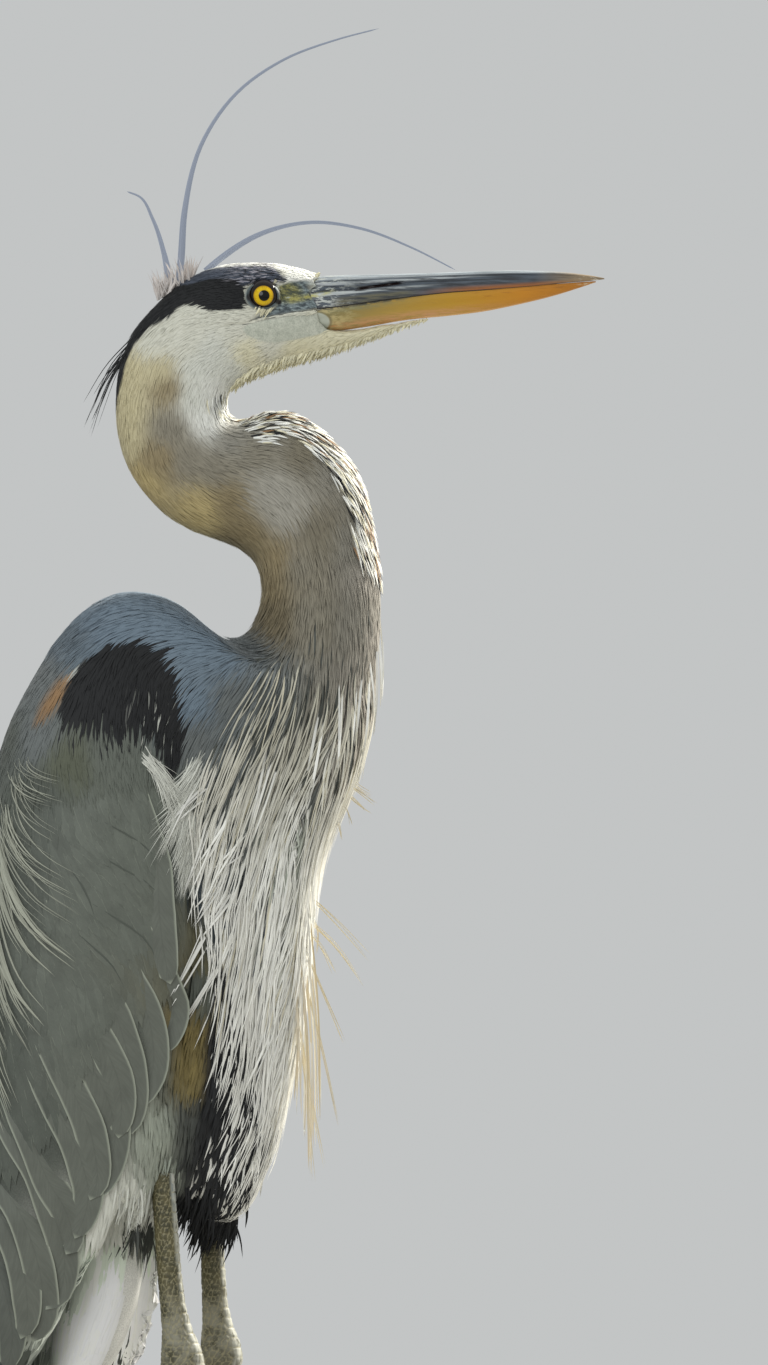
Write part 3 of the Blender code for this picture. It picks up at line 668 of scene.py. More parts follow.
def smooth_table(rows, x):
    """The rows of a table whose first column is x, on a smooth curve through them, at each x."""
    rows = np.asarray(rows, float)
    slopes = np.gradient(rows, rows[:, 0], axis=0)
    k = np.clip(np.searchsorted(rows[:, 0], x) - 1, 0, len(rows) - 2)
    wide = (rows[k + 1, 0] - rows[k, 0])[:, None]
    t = ((x - rows[k, 0])[:, None]) / wide
    low, high = 2 * t**3 - 3 * t**2 + 1, -2 * t**3 + 3 * t**2
    into, out_of = t**3 - 2 * t**2 + t, t**3 - t**2
    return low * rows[k] + high * rows[k + 1] + wide * (into * slopes[k] + out_of * slopes[k + 1])


def sheath(name, table, depth_of, finish):
    """A closed horny sheath: half rounds from the mouth line to the ridge, joined by bridging."""
    x = np.append(np.arange(table[0][0], table[-1][0], BILL_STEP), table[-1][0])
    rows = smooth_table(table, x)
    bm = bmesh.new()
    mesh = bpy.data.meshes.new(name)
    rises, rings = [], []
    heights = np.sin(np.linspace(0, math.pi / 2, 27))
    for x_here, edge_a, edge_b, half_width in rows:
        ridge, mouth = edge_a, edge_b
        if name == "lower_bill":
            ridge, mouth = edge_b, edge_a
        corners = []
        for side in (RIGHT, LEFT):
            for h in heights[:-1] if side == RIGHT else heights[::-1]:
                wide = half_width * (1 - h**2.4) ** 0.6 - depth_of(x_here, h)
                corners.append((x_here, side * max(wide, 0.0), mouth + (ridge - mouth) * h))
                rises.append(h)
        rings.append([bm.verts.new(to_metres(corner)) for corner in corners])
    for ring in rings:
        for a, b in zip(ring, ring[1:] + ring[:1]):
            bm.edges.new((a, b))
    for near, far in zip(rings, rings[1:]):
        edges = [bm.edges.get((a, b)) for ring in (near, far) for a, b in zip(ring, ring[1:] + ring[:1])]
        bmesh.ops.bridge_loops(bm, edges=edges)
    bm.faces.new(rings[0])
    bm.faces.new(rings[-1])
    bmesh.ops.recalc_face_normals(bm, faces=bm.faces)
    bm.to_mesh(mesh)
    bm.free()
    measure(mesh, "rise", rises)
    mesh.shade_smooth()
    mesh.set_sharp_from_angle(angle=math.radians(55))
    mesh.materials.append(finish)
    piece = into_scene(name, mesh)
    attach(piece, "root")
    return piece


def upper_relief(x, h):
    """How deep the groove, the nostril's slit and the line under the ridge are cut."""
    groove = 1.5 * math.exp(-(((h - 0.66) / 0.09) ** 2)) * float(step(x, 172, 96))
    slit_at = NOSTRIL_UP + NOSTRIL_RISE * (x - NOSTRIL_X)
    slit = 2.6 * math.exp(-(((h - slit_at) / 0.05) ** 2))
    slit *= float(step(x, 84, 90) * step(x, 114, 106))
    ridge_line = 0.35 * math.exp(-(((h - 0.9) / 0.04) ** 2)) * float(step(x, 200, 150))
    return groove + slit + ridge_line


def lower_relief(x, h):
    """One shallow groove along the lower sheath."""
    return 0.45 * math.exp(-(((h - 0.45) / 0.13) ** 2)) * float(step(x, 196, 120))


def horn_nodes(v):
    """What both sheaths share: distance along the bill, fine lengthwise fibres and worn flecks."""
    apart = v.node("ShaderNodeSeparateXYZ", None, {0: v.place()})
    x = (apart - float(ankle_line)) * (1 / MM)
    fibre = v.noise(v.place(scale=(0.045, 1, 1), turn=(0, math.radians(3), 0)), 900.0, 4.0, 0.65)
    fleck = v.noise(v.place(scale=(0.3, 1, 1)), 620.0, 4.0, 0.7)
    return x, fibre, fleck, v.attribute("rise")


horn, v = new_finish("bill_horn", roughness=0.42, Coat_Weight=0.25, Coat_Roughness=0.35)
x, fibre, fleck, rise = horn_nodes(v)
base = fibre.between(0.35, 0.68).mix(shade_of(24, 30, 38), shade_of(76, 86, 96))
# Pale along the top of the upper sheath, in fibres: partly pale streaks, partly a painted highlight where
# light falls on the ridge.
ridge = rise.between(0.80, 0.93) * (0.55 + 0.45 * fibre.between(0.3, 0.6))
base = ridge.mix(base, shade_of(176, 184, 188))
lip = rise.between(0.66, 0.72) * (1.0 - rise.between(0.74, 0.82)) * (1.0 - x.between(120.0, 165.0))
base = (lip * fibre.between(0.35, 0.55)).mix(base, shade_of(186, 192, 194))
below = rise.between(0.34, 0.40) * (1.0 - rise.between(0.44, 0.50)) * (1.0 - x.between(100.0, 135.0))
base = (below * fibre.between(0.35, 0.55)).mix(base, shade_of(184, 190, 190))
slit_at = (x - NOSTRIL_X) * NOSTRIL_RISE + NOSTRIL_UP
off = (rise - slit_at).math("ABSOLUTE")
slit = (1.0 - off.between(0.035, 0.075)) * x.between(85.0, 89.0) * (1.0 - x.between(107.0, 113.0))
base = slit.mix(base, shade_of(26, 12, 12))
root = (1.0 - x.between(70.0, 92.0)) * fleck.between(0.48, 0.6)
base = root.mix(base, shade_of(186, 190, 184))
brown = (1.0 - rise.between(0.2, 0.34)) * x.between(72.0, 80.0) * (1.0 - x.between(108.0, 122.0))
base = (brown * fibre.between(0.35, 0.6) * 0.8).mix(base, shade_of(104, 98, 66))
pale_line = (rise - ((x - 60.0) * 0.009 + 0.37)).math("ABSOLUTE")
pale_line = (1.0 - pale_line.between(0.02, 0.1)) * (1.0 - x.between(67.0, 78.0)) * fleck.between(0.35, 0.6)
base = pale_line.mix(base, shade_of(178, 172, 96))
warm = (1.0 - rise.between(0.08, 0.34)) * x.between(112.0, 150.0) * fibre.between(0.2, 0.55)
base = warm.mix(base, shade_of(150, 88, 26))
tip = x.between(176.0, 208.0) * (0.5 + 0.5 * fibre.between(0.3, 0.6))
base = tip.mix(base, shade_of(146, 124, 92))
worn = x.between(196.0, 214.0) * fleck.between(0.52, 0.62)
base = worn.mix(base, shade_of(206, 198, 180))
# Dark along the upper sheath's lower edge: painted shade under the edge where it closes over the lower
# sheath.
base = (1.0 - rise.between(0.0, 0.05)).mix(base, shade_of(30, 24, 18))
rough = 0.34 + 0.25 * fleck
connect(horn, Base_Color=base, Roughness=rough, Normal=v.bump(fibre * 0.7 + fleck * 0.3, 0.5, 0.0005))
upper = sheath("upper_bill", BILL_UPPER, upper_relief, horn)
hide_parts("bill_upper")

yellow_horn, v = new_finish("bill_yellow", roughness=0.4, Coat_Weight=0.2, Coat_Roughness=0.35)
x, fibre, fleck, rise = horn_nodes(v)
stops = [
    (0.0, linear((134, 128, 92))), (0.14, linear((150, 132, 74))), (0.32, linear((176, 142, 56))),
    (0.5, linear((188, 142, 30))), (0.75, linear((200, 132, 18))), (1.0, linear((176, 108, 20))),
]
long_way = (x - 60.0) * (1 / 150)
base = v.node("ShaderNodeValToRGB", {"stops": stops}, {0: long_way + (fibre - 0.5) * 0.12})
olive = (1.0 - x.between(70.0, 130.0)) * (1.0 - rise.between(0.1, 0.4)) * fleck.between(0.3, 0.6)
base = olive.mix(base, shade_of(110, 118, 92))
pink = (1.0 - x.between(120.0, 175.0)) * rise.between(0.5, 0.85) * fibre.between(0.3, 0.6)
base = pink.mix(base, shade_of(206, 152, 100))
under = rise.between(0.9, 0.99)
base = (under * 0.7).mix(base, shade_of(232, 180, 110))
streak = (fibre.between(0.55, 0.7) * x.between(120.0, 150.0)) * (1.0 - rise.between(0.3, 0.6))
base = (streak * 0.6).mix(base, shade_of(150, 96, 20))
# Dark in blotches along the top of the lower sheath towards its base: painted shadow under the upper
# sheath's edge.
shadow_under_upper = (1.0 - rise.between(0.02, 0.12)) * (1.0 - x.between(95.0, 125.0)) * fleck.between(0.3, 0.5)
base = shadow_under_upper.mix(base, shade_of(58, 58, 50))
worn = x.between(198.0, 208.0) * fleck.between(0.5, 0.62)
base = worn.mix(base, shade_of(214, 196, 160))
crust = (1.0 - x.between(74.0, 92.0)) * fleck.between(0.42, 0.58)
base = (crust * 0.7).mix(base, shade_of(204, 186, 130))
ahead, beneath = (x - 63.5) * (1 / 9.5), (rise - 0.60) * 2.0
from_jaw = (ahead * ahead + beneath * beneath) ** 0.5
jaw_rim = from_jaw.between(0.9, 1.0) * (1.0 - from_jaw.between(1.04, 1.16)) * fleck.between(0.3, 0.5)
base = (jaw_rim * 0.6).mix(base, shade_of(112, 104, 76))
base = (1.0 - from_jaw.between(0.9, 1.02)).mix(base, shade_of(181, 185, 170))
connect(yellow_horn, Base_Color=base, Normal=v.bump(fibre * 0.6 + fleck * 0.4, 0.45, 0.0005))
lower = sheath("lower_bill", BILL_LOWER, lower_relief, yellow_horn)
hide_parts("bill_lower")

# ---- Coat ------------------------------------------------------------------------------------
# Every feather is a thin solid blade set in the skin by its root. It runs with the lie of the
# coat, rises from root to tip so that it lies over the next, and carries its own shade.
LIE = [  # x, z, heading in degrees (0 forwards, 90 up), length, breadth, height of the tip
    (74, 741, 176, 2.4, 0.6, 0.8), (60, 744, 178, 3.0, 0.7, 1.1), (46, 747, 180, 4.0, 0.8, 1.3),
    (28, 748, 184, 6.0, 0.9, 1.6), (10, 745, 197, 8.0, 1.0, 1.8), (-6, 738, 214, 10, 1.0, 2.0),
    (-18, 727, 230, 12, 1.0, 2.4), (-28, 714, 241, 13, 1.0, 2.6), (-36, 698, 255, 14, 1.0, 2.6),
    (-40, 680, 268, 13, 0.9, 2.8), (30, 736, 188, 4.0, 0.8, 1.1), (24, 728, 187, 4.0, 0.7, 1.0),
    (12, 730, 192, 7.0, 0.9, 1.5), (-4, 727, 208, 10, 0.9, 2.0), (-18, 712, 232, 12, 0.9, 2.4),
    (36, 722, 184, 2.6, 0.6, 0.6), (24, 718, 187, 4.0, 0.7, 1.0), (8, 714, 196, 6.5, 0.8, 1.5),
    (-8, 704, 218, 9.0, 0.8, 2.0), (40, 703, 200, 4.5, 0.8, 1.5), (28, 697, 208, 6.0, 0.8, 1.6),
    (18, 688, 222, 7.5, 0.8, 1.8), (8, 700, 210, 7.5, 0.8, 1.8), (14, 682, 238, 8.5, 0.8, 1.8),
    (60, 702, 208, 4.5, 0.8, 1.6), (80, 706, 208, 4.0, 0.7, 1.4), (100, 712, 206, 3.4, 0.6, 1.1),
    (120, 718, 204, 2.8, 0.5, 0.8),
    (-26, 690, 262, 12, 0.9, 2.6), (-10, 690, 258, 11, 0.9, 2.4), (4, 686, 250, 10, 0.9, 2.2),
    (-38, 665, 272, 13, 0.9, 2.9), (-22, 668, 272, 13, 0.9, 2.9), (-8, 668, 272, 12, 0.9, 2.8),
    (8, 668, 275, 11, 0.9, 2.6), (18, 669, 285, 9, 0.9, 2.2),
    (-35, 646, 288, 13, 0.9, 3.0), (-20, 650, 292, 13, 0.9, 3.0), (-4, 653, 300, 12, 0.9, 3.0),
    (12, 655, 318, 10, 0.9, 2.8), (24, 662, 345, 8, 0.9, 2.2),
    (-26, 628, 308, 13, 0.9, 3.0), (-12, 634, 315, 13, 0.9, 3.0), (4, 641, 328, 12, 0.9, 3.0),
    (20, 648, 350, 11, 0.9, 2.8), (-10, 613, 324, 13, 0.9, 3.0), (6, 620, 332, 13, 0.9, 3.0),
    (22, 630, 342, 13, 0.9, 3.0), (34, 652, 5, 10, 0.9, 2.6), (38, 666, 14, 8, 1.0, 2.2),
    (52, 669, 350, 10, 1.1, 2.6), (10, 604, 340, 13, 0.9, 3.0), (24, 612, 332, 14, 0.9, 3.0),
    (38, 626, 325, 14, 0.9, 3.0), (50, 644, 332, 13, 1.0, 3.0), (64, 664, 325, 12, 1.1, 3.0),
    (26, 597, 322, 14, 0.9, 3.0), (40, 606, 312, 15, 0.9, 3.0), (54, 622, 305, 15, 1.0, 3.2),
    (74, 655, 308, 14, 1.1, 3.2), (34, 588, 292, 15, 0.9, 3.0), (48, 594, 290, 16, 0.9, 3.2),
    (62, 604, 288, 16, 1.0, 3.2), (78, 630, 296, 15, 1.1, 3.4), (90, 636, 293, 14, 1.1, 3.4),
    (37, 574, 268, 16, 0.9, 3.2), (52, 578, 276, 17, 0.9, 3.4), (68, 582, 278, 18, 1.0, 3.6),
    (84, 606, 283, 18, 1.1, 3.6), (96, 612, 280, 16, 1.1, 3.6), (34, 560, 252, 15, 0.9, 3.2),
    (50, 560, 262, 18, 0.9, 3.6), (68, 560, 268, 20, 1.0, 4.0), (84, 575, 274, 20, 1.1, 4.0),
    (100, 575, 271, 18, 1.1, 3.8), (100, 550, 266, 20, 1.1, 4.0),
    (26, 548, 212, 12, 1.0, 3.0), (36, 540, 236, 16, 1.0, 3.6), (56, 535, 252, 20, 1.0, 4.2),
    (76, 535, 260, 22, 1.1, 4.6), (96, 525, 260, 22, 1.1, 4.6), (20, 525, 234, 15, 1.1, 3.6),
    (30, 505, 240, 18, 1.1, 4.2), (50, 500, 248, 22, 1.1, 5.0), (90, 500, 255, 22, 1.1, 5.0),
    (8, 500, 240, 15, 1.1, 3.4), (14, 470, 244, 18, 1.2, 4.0), (80, 480, 252, 22, 1.1, 5.0),
    (40, 460, 250, 24, 1.2, 5.0), (66, 430, 262, 26, 1.2, 5.0), (18, 430, 248, 20, 1.2, 4.5),
    (60, 380, 264, 26, 1.2, 5.0), (30, 390, 252, 24, 1.2, 5.0), (50, 320, 258, 22, 1.2, 5.0),
    (18, 552, 186, 10, 1.1, 2.6), (6, 560, 172, 10, 1.2, 2.6), (-8, 571, 172, 10, 1.3, 2.6),
    (-26, 579, 186, 11, 1.4, 2.8), (-46, 573, 206, 11, 1.4, 2.8), (-62, 562, 222, 11, 1.5, 2.8),
    (-76, 545, 238, 12, 1.6, 2.8), (-90, 520, 252, 13, 1.8, 2.8), (-101, 485, 262, 14, 2.0, 3.0),
    (-110, 440, 268, 16, 2.2, 3.0), (8, 542, 200, 11, 1.2, 2.8), (4, 520, 226, 12, 1.2, 3.0),
    (0, 500, 238, 12, 1.2, 3.0), (-12, 556, 196, 11, 1.3, 2.8), (-30, 562, 214, 12, 1.4, 2.8),
    (-48, 556, 232, 12, 1.4, 2.8), (-62, 540, 246, 12, 1.5, 2.8), (-76, 520, 256, 13, 1.7, 2.8),
    (-35, 540, 258, 13, 1.3, 3.2), (-18, 525, 262, 14, 1.3, 3.4), (-50, 520, 266, 14, 1.3, 3.4),
    (-10, 495, 262, 13, 1.3, 3.2), (-40, 500, 276, 14, 1.5, 3.0), (-60, 480, 286, 15, 2.2, 2.8),
    (-30, 470, 292, 16, 2.4, 2.8), (-10, 450, 286, 15, 2.0, 2.8), (-50, 440, 312, 17, 2.8, 2.6),
    (-78, 460, 282, 16, 2.4, 2.6), (-25, 420, 310, 17, 2.8, 2.6), (-4, 400, 284, 15, 2.4, 2.6),
    (-50, 395, 306, 18, 3.0, 2.6), (-78, 400, 288, 17, 2.8, 2.6), (-98, 400, 280, 17, 2.6, 2.6),
    (-118, 380, 272, 17, 2.6, 2.6), (-20, 355, 286, 18, 3.0, 2.4), (-50, 335, 288, 20, 3.2, 2.4),
    (-80, 330, 286, 20, 3.2, 2.4), (-122, 300, 272, 18, 2.8, 2.4), (-60, 270, 280, 20, 3.2, 2.2),
    (-95, 260, 280, 20, 3.0, 2.2), (-75, 215, 268, 18, 3.0, 2.0), (-105, 180, 272, 18, 2.8, 2.0),
    (0, 355, 254, 14, 1.4, 3.4), (4, 325, 258, 14, 1.4, 3.6), (20, 300, 252, 16, 1.4, 4.0),
    (32, 285, 252, 16, 1.4, 4.0), (12, 270, 262, 16, 1.3, 4.0), (-20, 310, 280, 15, 1.8, 3.4),
    (-14, 265, 272, 13, 1.4, 3.2), (-34, 300, 276, 15, 1.8, 3.2), (-40, 240, 262, 18, 2.2, 3.2),
    (-55, 200, 250, 20, 2.6, 3.0), (-68, 155, 246, 18, 2.4, 2.4), (20, 255, 266, 12, 1.2, 3.0),
]
LIE_SPOTS = [row[:2] for row in LIE]
LIE_VALUES = [
    (math.cos(math.radians(h)), math.sin(math.radians(h)), long, broad, high)
    for _, _, h, long, broad, high in LIE
]


def unit(vectors):
    return vectors / np.maximum(np.linalg.norm(vectors, axis=-1, keepdims=True), 1e-9)


def skin_triangles():
    mesh = skin.data
    corners = np.empty(len(mesh.polygons) * 3, np.int32)
    mesh.loops.foreach_get("vertex_index", corners)
    uv = np.empty(len(mesh.loops) * 2, np.float32)
    mesh.uv_layers["OFBake"].uv.foreach_get("vector", uv)
    return corners.reshape(-1, 3), uv.reshape(-1, 3, 2).astype(float)


CORNERS, CORNER_UV = skin_triangles()
skin_points, skin_normals = points, normals
CENTRES = skin_points[CORNERS].mean(1)
AREAS = np.linalg.norm(
    np.cross(
        skin_points[CORNERS[:, 1]] - skin_points[CORNERS[:, 0]],
        skin_points[CORNERS[:, 2]] - skin_points[CORNERS[:, 0]],
    ),
    axis=1,
) / 2
FACE_NORMALS = unit(skin_normals[CORNERS].mean(1))
skin_tree = BVHTree.FromPolygons(
    [Vector(p) for p in skin_points], [list(map(int, c)) for c in CORNERS]
)


def scatter(region, spacing, rng):
    """Evenly strewn roots on the part of the skin where region(points, normals) is above 0."""
    share = np.clip(region(CENTRES, FACE_NORMALS), 0, 1)
    chosen = np.flatnonzero(share > 0)
    weight = AREAS[chosen] * share[chosen]
    tries = int(weight.sum() / spacing**2 * 5)
    picked = chosen[rng.choice(len(chosen), tries, p=weight / weight.sum())]
    a, b = rng.random((2, tries))
    flip = a + b > 1
    a, b = np.where(flip, 1 - a, a), np.where(flip, 1 - b, b)
    mix = np.stack((1 - a - b, a, b), 1)[:, :, None]
    roots = (skin_points[CORNERS[picked]] * mix).sum(1)
    cell = np.floor(roots / spacing).astype(np.int64)
    key = (cell[:, 0] * 4001 + cell[:, 1]) * 4001 + cell[:, 2]
    first = np.unique(key, return_index=True)[1]
    first.sort()
    uv = (CORNER_UV[picked] * mix).sum(1)
    return roots[first], FACE_NORMALS[picked[first]], uv[first]


def nearest_on_skin(places):
    """For each place, the skin's nearest point and the way out of it."""
    flat = places.reshape(-1, 3)
    found, out = np.empty_like(flat), np.empty_like(flat)
    for i, place in enumerate(flat):
        at, _, index, _ = skin_tree.find_nearest(Vector(place))
        found[i], out[i] = at, FACE_NORMALS[index]
    return found.reshape(places.shape), out.reshape(places.shape)


def run_along(roots, out, length, rows, turn, bend=0.0):
    """Lines of a row of points each, that run over the skin with the lie of the coat."""
    lines, ways_out = [roots], [out]
    here, normal = roots, out
    for k in range(1, rows):
        lie = blend_from(LIE_SPOTS, [value[:2] for value in LIE_VALUES], here)
        heading = np.arctan2(lie[:, 1], lie[:, 0]) + turn + bend * k / rows
        way = np.stack((np.cos(heading), np.zeros(len(here)), np.sin(heading)), 1)
        way = unit(way - (way * normal).sum(1)[:, None] * normal)
        here, normal = nearest_on_skin(here + way * (length / (rows - 1))[:, None])
        lines.append(here)
        ways_out.append(normal)
    return np.stack(lines, 1), np.stack(ways_out, 1)


LOCK = [(-1, 0.0), (0, 1.0), (1, 0.0)]  # across, from edge to edge, and thickness there
UV_PATCH = 0.0015  # half the size of each feather's patch on the unwrap


def blades(name, lines, out, breadth, thick, hue, uv, section, tone, finish):
    """One mesh of many closed blades, each along its own line; breadth and thick are at each point."""
    count, rows = lines.shape[:2]
    sides = len(section)
    along = unit(np.gradient(lines, axis=1))
    across = unit(np.cross(along, out))
    over = np.cross(across, along)
    co = np.empty((count, rows, sides, 3))
    for k, (u, h) in enumerate(section):
        co[:, :, k] = lines + across * (breadth * u)[..., None] + over * (thick * h)[..., None]
    body = co[:, :-1].reshape(count, -1, 3)
    every = np.concatenate((body, lines[:, -1:, :]), 1)
    per = (rows - 1) * sides + 1
    ring = np.arange(sides)
    quads = []
    for j in range(rows - 2):
        low, high = j * sides, (j + 1) * sides
        nxt = (ring + 1) % sides
        quads.append(np.stack((low + ring, high + ring, high + nxt, low + nxt), 1))
    quads = np.concatenate(quads) if quads else np.empty((0, 4), int)
    last = (rows - 2) * sides
    tips = np.stack((last + ring, np.full(sides, per - 1), last + (ring + 1) % sides), 1)
    start = (np.arange(count) * per)[:, None, None]
    cap = ring[None, :]
    loops = np.concatenate(
        [(start + quads[None]).ravel(), (start + tips[None]).ravel(), (start + cap[None]).ravel()]
    )
    sizes = np.concatenate(
        [np.full(count * len(quads), 4), np.full(count * sides, 3), np.full(count, sides)]
    )
    mesh = bpy.data.meshes.new(name)
    mesh.vertices.add(count * per)
    mesh.loops.add(len(loops))
    mesh.polygons.add(len(sizes))
    mesh.vertices.foreach_set("co", to_metres(every.reshape(-1, 3)).astype(np.float32).ravel())
    mesh.loops.foreach_set("vertex_index", loops.astype(np.int32))
    starts = np.concatenate(([0], np.cumsum(sizes)[:-1]))
    mesh.polygons.foreach_set("loop_start", starts.astype(np.int32))
    mesh.update(calc_edges=True)
    mesh.shade_smooth()
    mesh.set_sharp_from_angle(angle=math.radians(80))
    t = np.linspace(0, 1, rows)
    u = np.array([side[0] for side in section], float)

    def spread(per_row, tip):
        body_values = np.broadcast_to(per_row, (count, rows - 1, sides)).reshape(count, -1)
        return np.concatenate((body_values, np.broadcast_to(tip, (count, 1))), 1)

    v_along = spread(t[:-1, None], 1.0)
    v_across = spread(u[None, :], 0.0)
    measure(mesh, "along", v_along)
    measure(mesh, "across", v_across)
    measure(mesh, "tone", np.repeat(tone, per))
    if hue.ndim == 2:
        hue = np.repeat(hue[:, None], rows, 1)
    rows_of_hue = np.concatenate((np.repeat(hue[:, :-1], sides, 1), hue[:, -1:]), 1)
    paint(mesh, "hue", rows_of_hue.reshape(-1, 3))
    layer = mesh.uv_layers.new(name="OFBake")
    patch = uv[:, None] + UV_PATCH * np.stack((v_across, 2 * v_along - 1), 2)
    layer.uv.foreach_set("vector", patch.reshape(-1, 2)[loops].astype(np.float32).ravel())
    mesh.materials.append(finish)
    piece = into_scene(name, mesh)
    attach(piece, "root")
    return piece


WIDEST, AT_ROOT = 0.4, 0.7  # share of its length where a feather is broadest, and its root's breadth


def coat(name, region, spacing, seed, finish, rows=4, ruffle=7.0, long=1.0, broad=1.0, high=1.0,
         shade=0.12, tint=None, thick=0.28, tip=0.5, curl=0.0):
    """A stretch of the coat, with the measures of the lie of the coat, times long, broad and high."""
    rng = np.random.default_rng(seed)
    roots, out, uv = scatter(region, spacing, rng)
    count = len(roots)
    lie = blend_from(LIE_SPOTS, LIE_VALUES, roots)
    length = lie[:, 2] * long * rng.uniform(0.75, 1.2, count)
    breadth = lie[:, 3] * broad * rng.uniform(0.8, 1.2, count) / 2
    rise = lie[:, 4] * high * rng.uniform(0.6, 1.1, count)
    turn = np.radians(rng.normal(0, ruffle, count))
    bend = np.radians(rng.normal(0, ruffle * curl, count))
    lines, ways_out = run_along(roots, out, length, rows, turn, bend)
    t = np.linspace(0, 1, rows)
    lines = lines + ways_out * (rise[:, None] * t**0.8 + 0.05)[..., None]
    middle = lines[:, rows // 2]
    hue = markings(middle)
    tone = rng.random(count)
    hue = hue * (1 + shade * (2 * tone[:, None] - 1))
    if tint is not None:
        hue = tint(hue, middle, tone, rng)
    half = breadth[:, None] * np.interp(t, (0, WIDEST, 1), (AT_ROOT, 1.0, tip))
    return blades(name, lines, ways_out, half, half * 2 * thick, hue, uv, LOCK, tone, finish)


def dark_and_light(v, hue, dark, light):
    """Two colours made from the coat's own: a darker one, for dark marks and painted shade, and a paler
    one, for painted sheen.
    """
    return [
        v.node("ShaderNodeMix", {"data_type": "RGBA", "blend_type": kind}, {0: share, 6: hue, 7: by}, 2)
        for kind, share, by in (("MULTIPLY", 1.0, (dark, dark, dark, 1)), ("SCREEN", light, hue))
    ]


def coat_finish(name, strands=7.0, depth=0.25, bump=0.5, roughness=0.72, root_shade=0.35):
    """Soft feathers: the coat's own colour, parted lengthwise in fine strands with painted sheen on them
    and painted shade between them, and painted shade towards the root.
    """
    finish, v = new_finish(name, roughness=roughness, Sheen_Weight=0.12, Sheen_Roughness=0.4)
    across, along, tone = v.attribute("across"), v.attribute("along"), v.attribute("tone")
    where = v.node(
        "ShaderNodeCombineXYZ", None, {0: across * (strands / 2), 1: along * 1.2, 2: tone * 53.0}
    )
    strand = v.noise(where, 1.0, 2.0, 0.6)
    hue = v.attribute("hue", output=0)
    darker, painted_sheen = dark_and_light(v, hue, 0.35, 0.22)
    # Painted sheen on the strands, and painted shade between them.
    base = strand.between(0.5, 0.78).mix(hue, painted_sheen)
    base = ((1.0 - strand.between(0.25, 0.5)) * depth * 2.0).mix(base, darker)
    # Painted shade towards the root.
    base = ((1.0 - along.between(0.0, 0.35)) * root_shade).mix(base, darker)
    connect(finish, Base_Color=base, Normal=v.bump(strand, bump, 0.0003))
    return finish


soft_down = coat_finish("soft_feathers", depth=0.16, bump=0.3, root_shade=0.16)
face_down = coat_finish("face_feathers", strands=5.0, depth=0.08, bump=0.2, root_shade=0.06)

SEAMS = {  # between two stretches of the coat: x and z of a point on the seam, and its slope
    "throat": (10, 690, -0.25), "upper neck": (-10, 640, 0.9), "bend": (30, 596, 0.45),
    "foot": (60, 548, -0.2), "shoulder": (-60, 482, 0.15),
}


def seam(name, x):
    """How high the seam runs at each x."""
    at, height, slope = SEAMS[name]
    return height + slope * (x - at)


def on_head(points, out):
    x, y, z = points.T
    bare_face = np.maximum(inside(LORES, points), inside(JAW_PATCH, points)) > -0.3
    eye = np.hypot((x - EYE_X) / (LID_LONG + 2.4), (z - EYE_Z) / (LID_HIGH + 2.2)) < 1
    bare_here = (bare_face | eye) & (np.abs(y) > 5)
    return ((z > seam("throat", x)) & ~bare_here & (x < 135)).astype(float)


def crown_flecks(hue, middle, tone, rng):
    """Dark and pale flecks among the slate feathers of the crown's sides."""
    fleck = rng.random(len(hue))
    share = step(inside(CROWN_SIDE, middle), -0.5, 0.5) * step(middle[:, 0], 12, 30)
    dark, light = (fleck < 0.3) * share, (fleck > 0.72) * share
    hue = hue * (1 - 0.75 * dark[:, None])
    return hue + (linear((176, 172, 180)) - hue) * (0.7 * light)[:, None]


coat("head_feathers", lambda p, n: on_head(p, n) * (p[:, 2] > 716.0), 1.0, 11, face_down,
     tint=crown_flecks, ruffle=4, high=0.6, broad=0.85, thick=0.16, shade=0.08)
coat("throat_feathers", lambda p, n: on_head(p, n) * (p[:, 2] <= 716.0), 1.05, 12, face_down,
     ruffle=3, high=0.38, broad=0.85, long=1.15, thick=0.13, shade=0.04)


def on_neck_upper(points, out):
    x, y, z = points.T
    return ((z <= seam("throat", x)) & (z > seam("upper neck", x)) & (x < 30)).astype(float)


def on_neck_bend(points, out):
    x, y, z = points.T
    below = (z <= seam("upper neck", x)) | (x >= 30)
    return (below & (z > seam("bend", x)) & (z < 690)).astype(float)


def on_neck_foot(points, out):
    x, y, z = points.T
    return ((z <= seam("bend", x)) & (z > seam("foot", x)) & (x > 27)).astype(float)


coat("neck_feathers_upper", on_neck_upper, 1.15, 13, face_down, ruffle=2.5, high=0.4,
     broad=0.9, long=1.1, thick=0.13, shade=0.04)
coat("neck_feathers_bend", on_neck_bend, 1.55, 14, face_down, ruffle=3.5, long=1.15,
     high=0.48, broad=0.95, thick=0.15, shade=0.07)
coat("neck_feathers_foot", on_neck_foot, 1.5, 15, soft_down, ruffle=4, long=1.2,
     high=0.7, broad=0.9, thick=0.2, shade=0.09)


def on_mantle(points, out):
    x, y, z = points.T
    front = (x > 2) & (z > 470) & (z <= seam("foot", x)) & (x < 60)
    back = (x <= 27) & (z > seam("shoulder", x)) & (z < 596) & ((x < 2) | (z > 486))
    return (front | back).astype(float)


